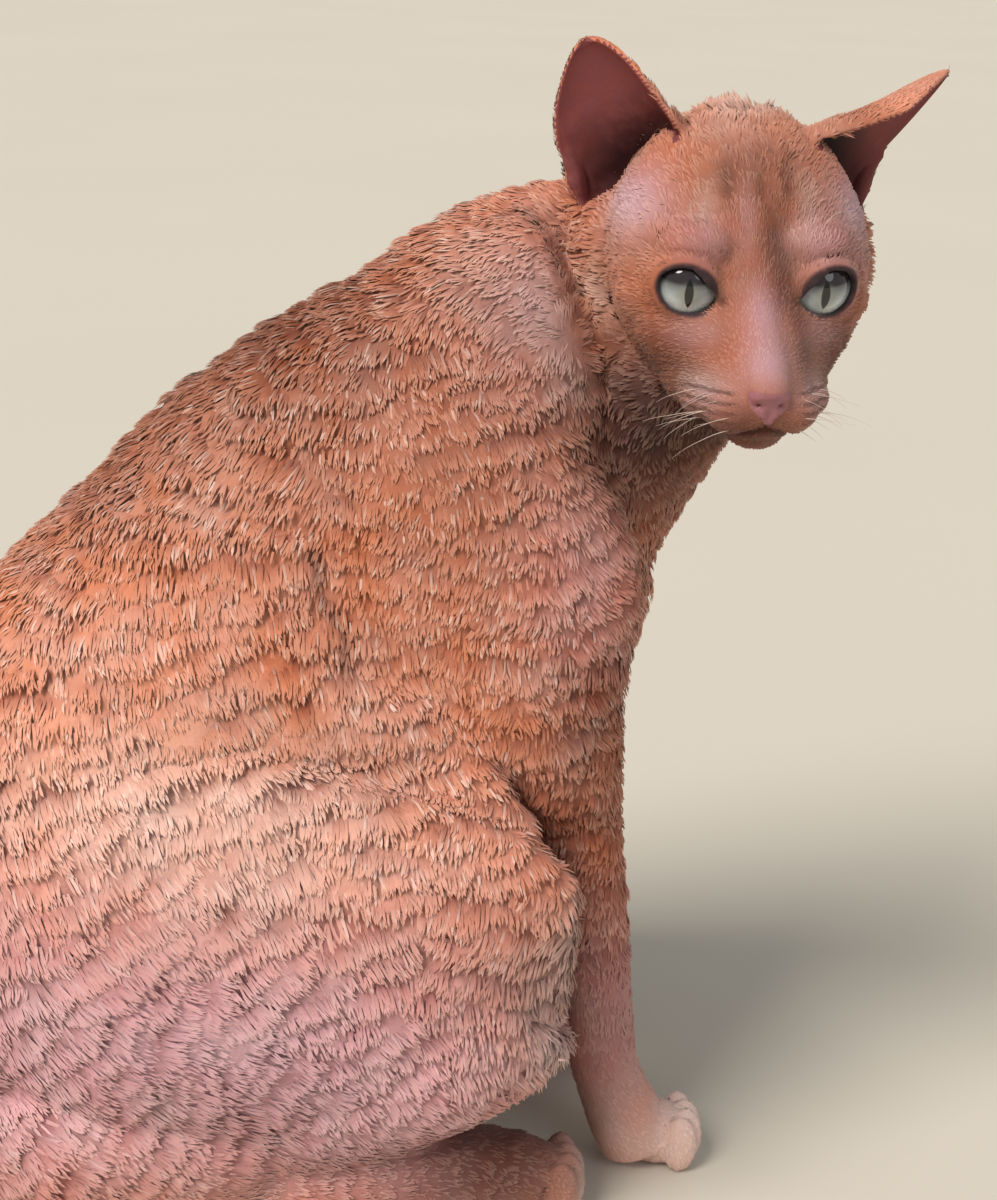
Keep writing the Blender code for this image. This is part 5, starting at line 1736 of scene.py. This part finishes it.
def eye_material(settings):
    """A wet eye: clear cornea over a pale grey iris with fine radial fibres and a slit pupil; the upper
    lid's shadow is painted dark across the top of the iris.
    """
    made, tree = new_material("wet_eye")
    place = add(tree, "ShaderNodeUVMap", uv_map="gaze").outputs["UV"]
    centred = add(tree, "ShaderNodeMapping", {
        "Vector": place, "Location": (-1.0, -1.0, 0.0), "Scale": (2.0, 2.0, 1.0)
    }).outputs["Vector"]
    axes = add(tree, "ShaderNodeSeparateXYZ", {"Vector": centred}).outputs
    x, y = axes["X"], axes["Y"]

    def calc(kind, one, two=0.0):
        return add(tree, "ShaderNodeMath", {0: one, 1: two}, operation=kind).outputs[0]

    radius = calc("SQRT", calc("ADD", calc("MULTIPLY", x, x), calc("MULTIPLY", y, y)))
    polar = add(tree, "ShaderNodeCombineXYZ", {
        "X": calc("MULTIPLY", calc("ARCTAN2", y, x), 9.0), "Y": calc("MULTIPLY", radius, 3.0)
    }).outputs["Vector"]
    fibres = add(tree, "ShaderNodeTexNoise", {"Vector": polar, "Scale": 1.6, "Detail": 4.0})
    # The slit: an upright lens, narrow against its height.
    off = calc("ABSOLUTE", calc("DIVIDE", calc("SUBTRACT", y, 0.06), 0.42))
    bow = calc("MAXIMUM", calc("SUBTRACT", 1.0, calc("POWER", off, 2.0)), 0.0)
    wide = calc("MULTIPLY", calc("POWER", bow, 0.75), settings.pupil_width)
    slit = calc("SUBTRACT", wide, calc("ABSOLUTE", x))
    colour = linear(settings.iris_low)
    for factor, layer in (
        (ranged(tree, y, -0.55, -0.1), settings.iris_middle),
        (ranged(tree, fibres.outputs["Fac"], 0.35, 0.7, 0.0, 0.3), settings.iris_fibre),
        # Painted shadow of the upper lid across the top of the iris.
        (ranged(tree, y, -0.12, 0.34), settings.iris_lid_shadow),
        (ranged(tree, radius, 0.22, 0.42, 0.5, 0.0), settings.iris_inner),
        (ranged(tree, radius, 0.8, 0.95), settings.iris_edge),
        (ranged(tree, slit, -0.012, 0.02), "#050404"),
    ):
        colour = mixed(tree, factor, colour, linear(layer))
    surfaced(tree, {
        "Base Color": colour, "Roughness": 0.07, "Specular IOR Level": 0.5, "Coat Weight": 1.0,
        "Coat Roughness": 0.02, "IOR": 1.376,
    })
    return made


def whisker_material():
    """Whisker: stiff pale keratin, smooth and slightly glossy."""
    made, tree = new_material("whisker_keratin")
    colour = mixed(tree, object_noise(tree, 0.01), linear("#e9d9cd"), linear("#cbb2a4"))
    surfaced(tree, {"Base Color": colour, "Roughness": 0.35, "Specular IOR Level": 0.5})
    return made


def floor_material(colour):
    """Matt painted studio floor with faint mottling."""
    made, tree = new_material("matt_painted_floor")
    pale = linear(colour)
    dark = (*[0.94 * part for part in pale[:3]], 1.0)
    mottled = mixed(tree, object_noise(tree, 1 / 1.5, 3.0), pale, dark)
    surfaced(tree, {"Base Color": mottled, "Roughness": 0.8})
    return made


def whisker(start, way, length, bend, draw):
    """The crinkled centre line of a short whisker."""
    side = way.cross(Vector((0, 0, 1))).normalized()
    points = []
    for step in range(9):
        share = step / 8
        wave = 0.5 * math.sin(share * 9 + draw.uniform(0, 1)) * share
        spot = start + way * length * share + side * wave + Vector((0, 0, -1)) * bend * share * share
        points.append(spot)
    return points


def tapered_tube(bm, points, radius):
    matrices = []
    for number, point in enumerate(points):
        ahead = points[min(number + 1, len(points) - 1)] - points[max(number - 1, 0)]
        side = ahead.cross(Vector((0.3, 0.2, 1))).normalized()
        up = ahead.cross(side).normalized()
        size = radius * (1 - 0.8 * number / (len(points) - 1))
        matrices.append(ring_matrix(point * MM, side * size * MM, up * size * MM))
    bridged_rings(bm, matrices, 5)


def tone(name, description, default):
    """A setting that holds an sRGB hex colour."""
    return bpy.props.StringProperty(name=name, description=description, default=default)


class CatBodySettings(bpy.types.PropertyGroup):
    """Depths of the skin under the outline of the coat."""

    body_depth: bpy.props.FloatProperty(
        name="Body coat depth", description="How far the skin lies under the outline of the trunk",
        default=4.6 * MM, min=0.0, unit="LENGTH",
    )
    leg_depth: bpy.props.FloatProperty(
        name="Leg coat depth", description="How far the skin lies under the outline of the legs",
        default=1.0 * MM, min=0.0, unit="LENGTH",
    )
    face_depth: bpy.props.FloatProperty(
        name="Face fur depth", description="How far the skin lies under the outline of the head",
        default=0.7 * MM, min=0.0, unit="LENGTH",
    )


class CatCoatSettings(bpy.types.PropertyGroup):
    """Form and colours of the coat."""

    wave_scale: bpy.props.FloatProperty(
        name="Wave height", description="Height of the waves against their usual height", default=1.0
    )
    cover: bpy.props.FloatProperty(
        name="Cover", description="How many layers of tufts lie over each other", default=2.1
    )
    seed: bpy.props.IntProperty(name="Seed", description="Seed of all random draws", default=11)
    salmon: tone("Salmon", "Main red of the coat", "#dd9275")
    rust: tone("Rust", "Darker red of back and marks", "#a45f43")
    # Dark brown of the markings, also used for painted shade.
    umber: tone("Umber", "Darkest brown", "#43221a")
    cream: tone("Cream", "Palest hair", "#fbe8dc")
    lilac: tone("Lilac", "Cool pale hair of the haunch", "#dcb2c0")
    # Painted shade between the waves, over a slightly darker undercoat.
    groove_shade: tone("Groove", "Tint between waves", "#84503f")
    # Pale hair ends and the painted highlight of the wave crests.
    tips_and_crest_highlight: tone("Tips", "Pale ends of the hair", "#f3c9b2")
    lid_skin: tone("Lid skin", "Dark rim of the lids", "#382428")
    ear_red: tone("Ear red", "Skin in the ear", "#8f4a42")
    ear_mauve: tone("Ear mauve", "Skin in the ear", "#7c4a50")
    # Painted shade deep in the ear.
    ear_canal_shade: tone("Ear canal", "Depth of the ear", "#240c0e")
    leather: tone("Nose", "Nose leather", "#8c565c")
    leather_pale: tone("Nose pale", "Nose leather", "#a86d73")


class CatEyeSettings(bpy.types.PropertyGroup):
    """Size and colours of the eyes."""

    pupil_width: bpy.props.FloatProperty(
        name="Pupil width", description="Half width of the slit in radii of the eye", default=0.125
    )
    iris_low: tone("Iris low", "Lower iris", "#eef2f0")
    iris_middle: tone("Iris middle", "Middle iris", "#bcc6c8")
    # Painted shadow of the upper lid across the top of the iris.
    iris_lid_shadow: tone("Iris top", "Upper iris", "#2b2428")
    iris_fibre: tone("Iris fibre", "Fibres", "#8b968c")
    iris_inner: tone("Iris inner", "By the pupil", "#7f8470")
    iris_edge: tone("Iris edge", "Outer ring", "#1e1a1c")


class CatStageSettings(bpy.types.PropertyGroup):
    """The floor and the lights."""

    floor_colour: tone("Floor", "Colour of the floor", "#d9d4c6")
    floor_size: bpy.props.FloatProperty(
        name="Floor size", description="Side of the floor", default=40.0, unit="LENGTH"
    )
    key_power: bpy.props.FloatProperty(name="Key light", description="Power of the key light", default=3.0)
    fill_power: bpy.props.FloatProperty(
        name="Fill light", description="Power of the fill light", default=0.35
    )


def skin_tones(skin, marks, inside, height, edge, own, shade):
    """Puts the markings and the painted shade on the skin's vertices, and bare skin where no hair grows."""
    mesh = skin.data
    # Painted shade deep in the ear's cup: darkest low down and in the middle, fading towards the tip and the
    # edges.
    canal_shade = np.where(inside > 0, soft_step(-height, -0.66, -0.2) * (1 - 0.85 * edge**2.2), 0.0)
    values = {key: marks[key] for key in TONES}
    values.update({"shade": shade, "canal_shade": canal_shade, "strand": np.full(len(shade), 0.5)})
    write_tones(mesh, values)
    corners = made_skin["surface"].triangles
    slots = np.zeros(len(corners), np.int32)
    leather = (nose_leather(own) > 0.35) & (marks["head"] > 0.5)
    slots[(inside > 0)[corners].sum(1) >= 2] = 1
    slots[leather[corners].sum(1) >= 2] = 2
    mesh.polygons.foreach_set("material_index", slots)


class CAT_OT_skin(bpy.types.Operator):
    """Models one skin over head, ears, body, legs, feet and tail"""

    bl_idname = "cat.skin"
    bl_label = "Skin"

    def execute(self, context):
        sizes, coat = context.scene.cat_body, context.scene.cat_coat
        skin, sheets, mouth, philtrum = build_skin(
            sizes.body_depth / MM, sizes.leg_depth / MM, sizes.face_depth / MM
        )
        made_skin.update(sheets=sheets, mouth=mouth, philtrum=philtrum)
        surface = Surface(skin.data)
        made_skin["surface"] = surface
        made_skin["unwrap"] = skin_unwrap(skin)
        draw = np.random.default_rng(coat.seed)
        waves = wave_crests(surface, coat.wave_scale, draw)
        made_skin["waves"] = waves
        places, normals = surface.places, surface.normals
        own = head_space(places)
        marks = markings(places)
        inside, height, edge = ear_marks(places)
        tall, _ = relief(waves, places, normals)
        bare = bare_at(places, normals, marks, inside, own)
        furry = np.clip(style_at(places)[:, 0] / 1.5, 0, 1) * ~bare
        tall -= 1.6 * np.exp(-(crease_distance(places) / 1.7) ** 2)
        moved = places + normals * (tall - 0.3 * furry)[:, None]
        moved[:, 2] = np.where(places[:, 2] < 0.05, places[:, 2], np.maximum(moved[:, 2], 0.0))
        skin.data.vertices.foreach_set("co", (moved * MM).astype(np.float32).ravel())
        skin.data.update()
        skin.data.shade_smooth()
        # Painted shade on the skin: darker low in the wave grooves and under thick fur, lighter on the
        # crests.
        shade = np.where(bare, 0.6, np.clip(0.38 + 0.2 * tall + 0.35 * (1 - furry), 0, 0.85))
        skin.data.materials.clear()
        for made in (under_fur_material(coat), ear_material(coat), leather_material(coat)):
            skin.data.materials.append(made)
        skin_tones(skin, marks, inside, height, edge, own, shade)
        nodes = [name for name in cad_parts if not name.startswith("eye_")]
        finish_piece(skin, "face_fur", *nodes)
        made_skin["tufts"] = grow_tufts(surface, waves, draw, coat.cover)
        return {"FINISHED"}


def coat_pieces(names, head):
    """Makes the coat's pieces of one group, each from the tufts that are nearest to its places."""
    if "tufts" not in made_skin:
        raise RuntimeError("Model the skin first: the coat grows on it")
    tufts, surface = made_skin["tufts"], made_skin["surface"]
    look = bpy.data.materials.get("curled_hair") or hair_material(bpy.context.scene.cat_coat)
    on_the_head = tufts["marks"]["head"] > 0.5
    if head:
        rows = np.nonzero(on_the_head)[0]
        everything = HEAD_PIECES
        owner = nearest_piece(head_space(tufts["spots"][rows]), everything)
    else:
        rows = np.nonzero(~on_the_head)[0]
        everything = {name: places for group in COAT_PIECES.values() for name, places in group.items()}
        owner = nearest_piece(tufts["spots"][rows], everything)
    for number, name in enumerate(everything):
        if name not in names:
            continue
        own = rows[owner == number]
        if not len(own):
            raise RuntimeError(f"{name} has no tufts")
        obj = coat_mesh(name, surface, made_skin["waves"], tufts, own, made_skin["unwrap"])
        if len(obj.data.polygons) >= TRIANGLE_LIMIT:
            raise RuntimeError(f"{name} has {len(obj.data.polygons)} triangles: split it")
        obj.data.materials.append(look)
        finish_piece(obj, "face_fur" if head else "coat")
    return {"FINISHED"}


class CAT_OT_trunk_coat(bpy.types.Operator):
    """Grows the waved coat of back, flanks, rump and haunches"""

    bl_idname = "cat.trunk_coat"
    bl_label = "Trunk coat"

    def execute(self, context):
        return coat_pieces(COAT_PIECES["trunk"], False)


class CAT_OT_shoulder_coat(bpy.types.Operator):
    """Grows the curled coat of shoulders, neck and chest"""

    bl_idname = "cat.shoulder_coat"
    bl_label = "Shoulder coat"

    def execute(self, context):
        return coat_pieces(COAT_PIECES["shoulders"], False)


class CAT_OT_leg_fur(bpy.types.Operator):
    """Grows the short fur of legs, feet and tail"""

    bl_idname = "cat.leg_fur"
    bl_label = "Leg fur"

    def execute(self, context):
        return coat_pieces(COAT_PIECES["legs"], False)


class CAT_OT_head_fur(bpy.types.Operator):
    """Grows the short fur of the head, with its curled crown"""

    bl_idname = "cat.head_fur"
    bl_label = "Head fur"

    def execute(self, context):
        return coat_pieces(HEAD_PIECES, True)


class CAT_OT_eyes(bpy.types.Operator):
    """Models both eyes with a slightly raised cornea"""

    bl_idname = "cat.eyes"
    bl_label = "Eyes"

    def execute(self, context):
        look = eye_material(context.scene.cat_eyes)
        for name, side in (("eye_right", -1), ("eye_left", 1)):
            bm = bmesh.new()
            bmesh.ops.create_uvsphere(bm, u_segments=64, v_segments=40, radius=1.0)
            bmesh.ops.rotate(bm, verts=bm.verts, matrix=Matrix.Rotation(math.radians(90), 3, "X"))
            layer = bm.loops.layers.uv.new("gaze")
            for face in bm.faces:
                for loop in face.loops:
                    loop[layer].uv = (loop.vert.co.x * 0.5 + 0.5, loop.vert.co.z * 0.5 + 0.5)
            for vert in bm.verts:
                wide = math.hypot(vert.co.x, vert.co.z)
                if vert.co.y < 0:
                    vert.co.y *= 1 + 0.05 * max(0.0, 1 - (wide / 0.8) ** 2)
            obj = new_object("visual_" + name, bm)
            obj.data.shade_smooth()
            gaze = Matrix.Rotation(side * math.radians(5) + math.radians(-3), 4, "Z")
            gaze = gaze @ Matrix.Rotation(math.radians(8), 4, "X")
            centre = at(eye_place(side))
            size = Matrix.Scale(EYE_RADIUS * MM, 4)
            obj.data.transform(head_frame() @ Matrix.Translation(centre) @ gaze @ size)
            obj.data.materials.append(look)
            finish_piece(obj, "eye", name)
        return {"FINISHED"}


class CAT_OT_whiskers(bpy.types.Operator):
    """Models the short, crinkled whiskers of muzzle and brows"""

    bl_idname = "cat.whiskers"
    bl_label = "Whiskers"

    def execute(self, context):
        if "surface" not in made_skin:
            raise RuntimeError("Model the skin first: the whiskers grow on it")
        draw = np.random.default_rng(5)
        rotation = head_frame().to_3x3()
        bm = bmesh.new()
        for side in (-1, 1):
            roots = [((9 + 2.2 * (n % 4), 17 - 2.6 * (n % 4), -29 - 2.0 * (n // 4)), 1.0) for n in range(12)]
            roots += [((15 + 3 * n, -9, 12), 0.7) for n in range(2)]
            for (left, forward, up), share in roots:
                start = head_frame() @ at((side * left, forward, up))
                start = made_skin["surface"].tree.find_nearest(start / MM)[0]
                way = Vector((side * (0.9 if share == 1.0 else 0.4), 0.25, -0.25 if share == 1.0 else 0.8))
                way += Vector(draw.uniform(-0.2, 0.2, 3))
                length = share * draw.uniform(7, 16)
                line = whisker(start, (rotation @ way).normalized(), length, draw.uniform(1, 5), draw)
                tapered_tube(bm, line, 0.11)
        obj = new_object("whiskers", bm)
        obj.data.shade_smooth()
        obj.data.materials.append(whisker_material())
        finish_piece(obj, "face_fur")
        return {"FINISHED"}


def soft_sun(name, way, power, colour):
    """A wide, distant light that shines the given way."""
    data = bpy.data.lights.new(name, "SUN")
    data.energy = power
    data.angle = math.radians(30)
    data.color = linear(colour)[:3]
    linked(name, data).rotation_euler = Vector(way).to_track_quat("-Z", "Y").to_euler()


class CAT_OT_stage(bpy.types.Operator):
    """Sets the floor, the lights and the camera at the photo's viewing angle"""

    bl_idname = "cat.stage"
    bl_label = "Stage"

    def execute(self, context):
        stage = context.scene.cat_stage
        bm = bmesh.new()
        bmesh.ops.create_grid(bm, x_segments=8, y_segments=8, size=stage.floor_size / 2)
        floor = new_object("floor", bm)
        floor.data.materials.append(floor_material(stage.floor_colour))
        soft_sun("window_light", (0.52, -0.72, -0.98), stage.key_power, "#fff6ee")
        soft_sun("fill_light", (0.7, 0.5, -0.55), stage.fill_power, "#f2f4ff")
        world = bpy.data.worlds.new("studio")
        context.scene.world = world
        world.use_nodes = True
        background = world.node_tree.nodes["Background"].inputs
        background["Color"].default_value = linear("#e8e8e6")
        background["Strength"].default_value = 0.42
        camera_data = bpy.data.cameras.new("camera")
        camera_data.sensor_width = SENSOR
        camera_data.lens = SENSOR * FOCAL_PIXELS / PHOTO_HEIGHT
        camera_data.clip_start = 0.01
        camera = linked("camera", camera_data)
        turn, pitch, roll = CAMERA_TURN, CAMERA_PITCH, CAMERA_ROLL
        level = Vector((math.cos(turn), -math.sin(turn), 0))
        right = Vector((-math.sin(turn), -math.cos(turn), 0))
        ahead = level * math.cos(pitch) - Vector((0, 0, math.sin(pitch)))
        up = level * math.sin(pitch) + Vector((0, 0, math.cos(pitch)))
        across = right * math.cos(roll) + up * math.sin(roll)
        above = up * math.cos(roll) - right * math.sin(roll)
        turned = Matrix((across, above, -ahead)).transposed()
        place = Vector(CAMERA_PLACE) + design_shift()
        camera.matrix_world = Matrix.Translation(place) @ turned.to_4x4()
        context.scene.camera = camera
        context.scene.view_settings.view_transform = "Standard"
        return {"FINISHED"}


class CAT_PT_panel(bpy.types.Panel):
    """Lists the cat's pieces"""

    bl_label = "Cat"
    bl_idname = "CAT_PT_panel"
    bl_space_type = "VIEW_3D"
    bl_region_type = "UI"
    bl_category = "Cat"

    def draw(self, context):
        for group in (context.scene.cat_body, context.scene.cat_coat, context.scene.cat_eyes,
                      context.scene.cat_stage):
            for name in group.__annotations__:
                self.layout.prop(group, name)
        for operator in OPERATORS:
            self.layout.operator(operator.bl_idname)


OPERATORS = (
    CAT_OT_stage, CAT_OT_skin, CAT_OT_eyes, CAT_OT_trunk_coat, CAT_OT_shoulder_coat,
    CAT_OT_leg_fur, CAT_OT_head_fur, CAT_OT_whiskers,
)
GROUPS = {
    "cat_body": CatBodySettings, "cat_coat": CatCoatSettings,
    "cat_eyes": CatEyeSettings, "cat_stage": CatStageSettings,
}


def register():
    for name, group in GROUPS.items():
        bpy.utils.register_class(group)
        setattr(bpy.types.Scene, name, bpy.props.PointerProperty(type=group))
    for item in (*OPERATORS, CAT_PT_panel):
        bpy.utils.register_class(item)


def unregister():
    for item in (CAT_PT_panel, *OPERATORS):
        bpy.utils.unregister_class(item)
    for name, group in GROUPS.items():
        delattr(bpy.types.Scene, name)
        bpy.utils.unregister_class(group)


def main():
    register()
    bpy.ops.cat.stage()
    bpy.ops.cat.skin()
    bpy.ops.cat.eyes()
    bpy.ops.cat.trunk_coat()
    bpy.ops.cat.shoulder_coat()
    bpy.ops.cat.leg_fur()
    bpy.ops.cat.head_fur()
    bpy.ops.cat.whiskers()


if __name__ == "__main__":
    main()
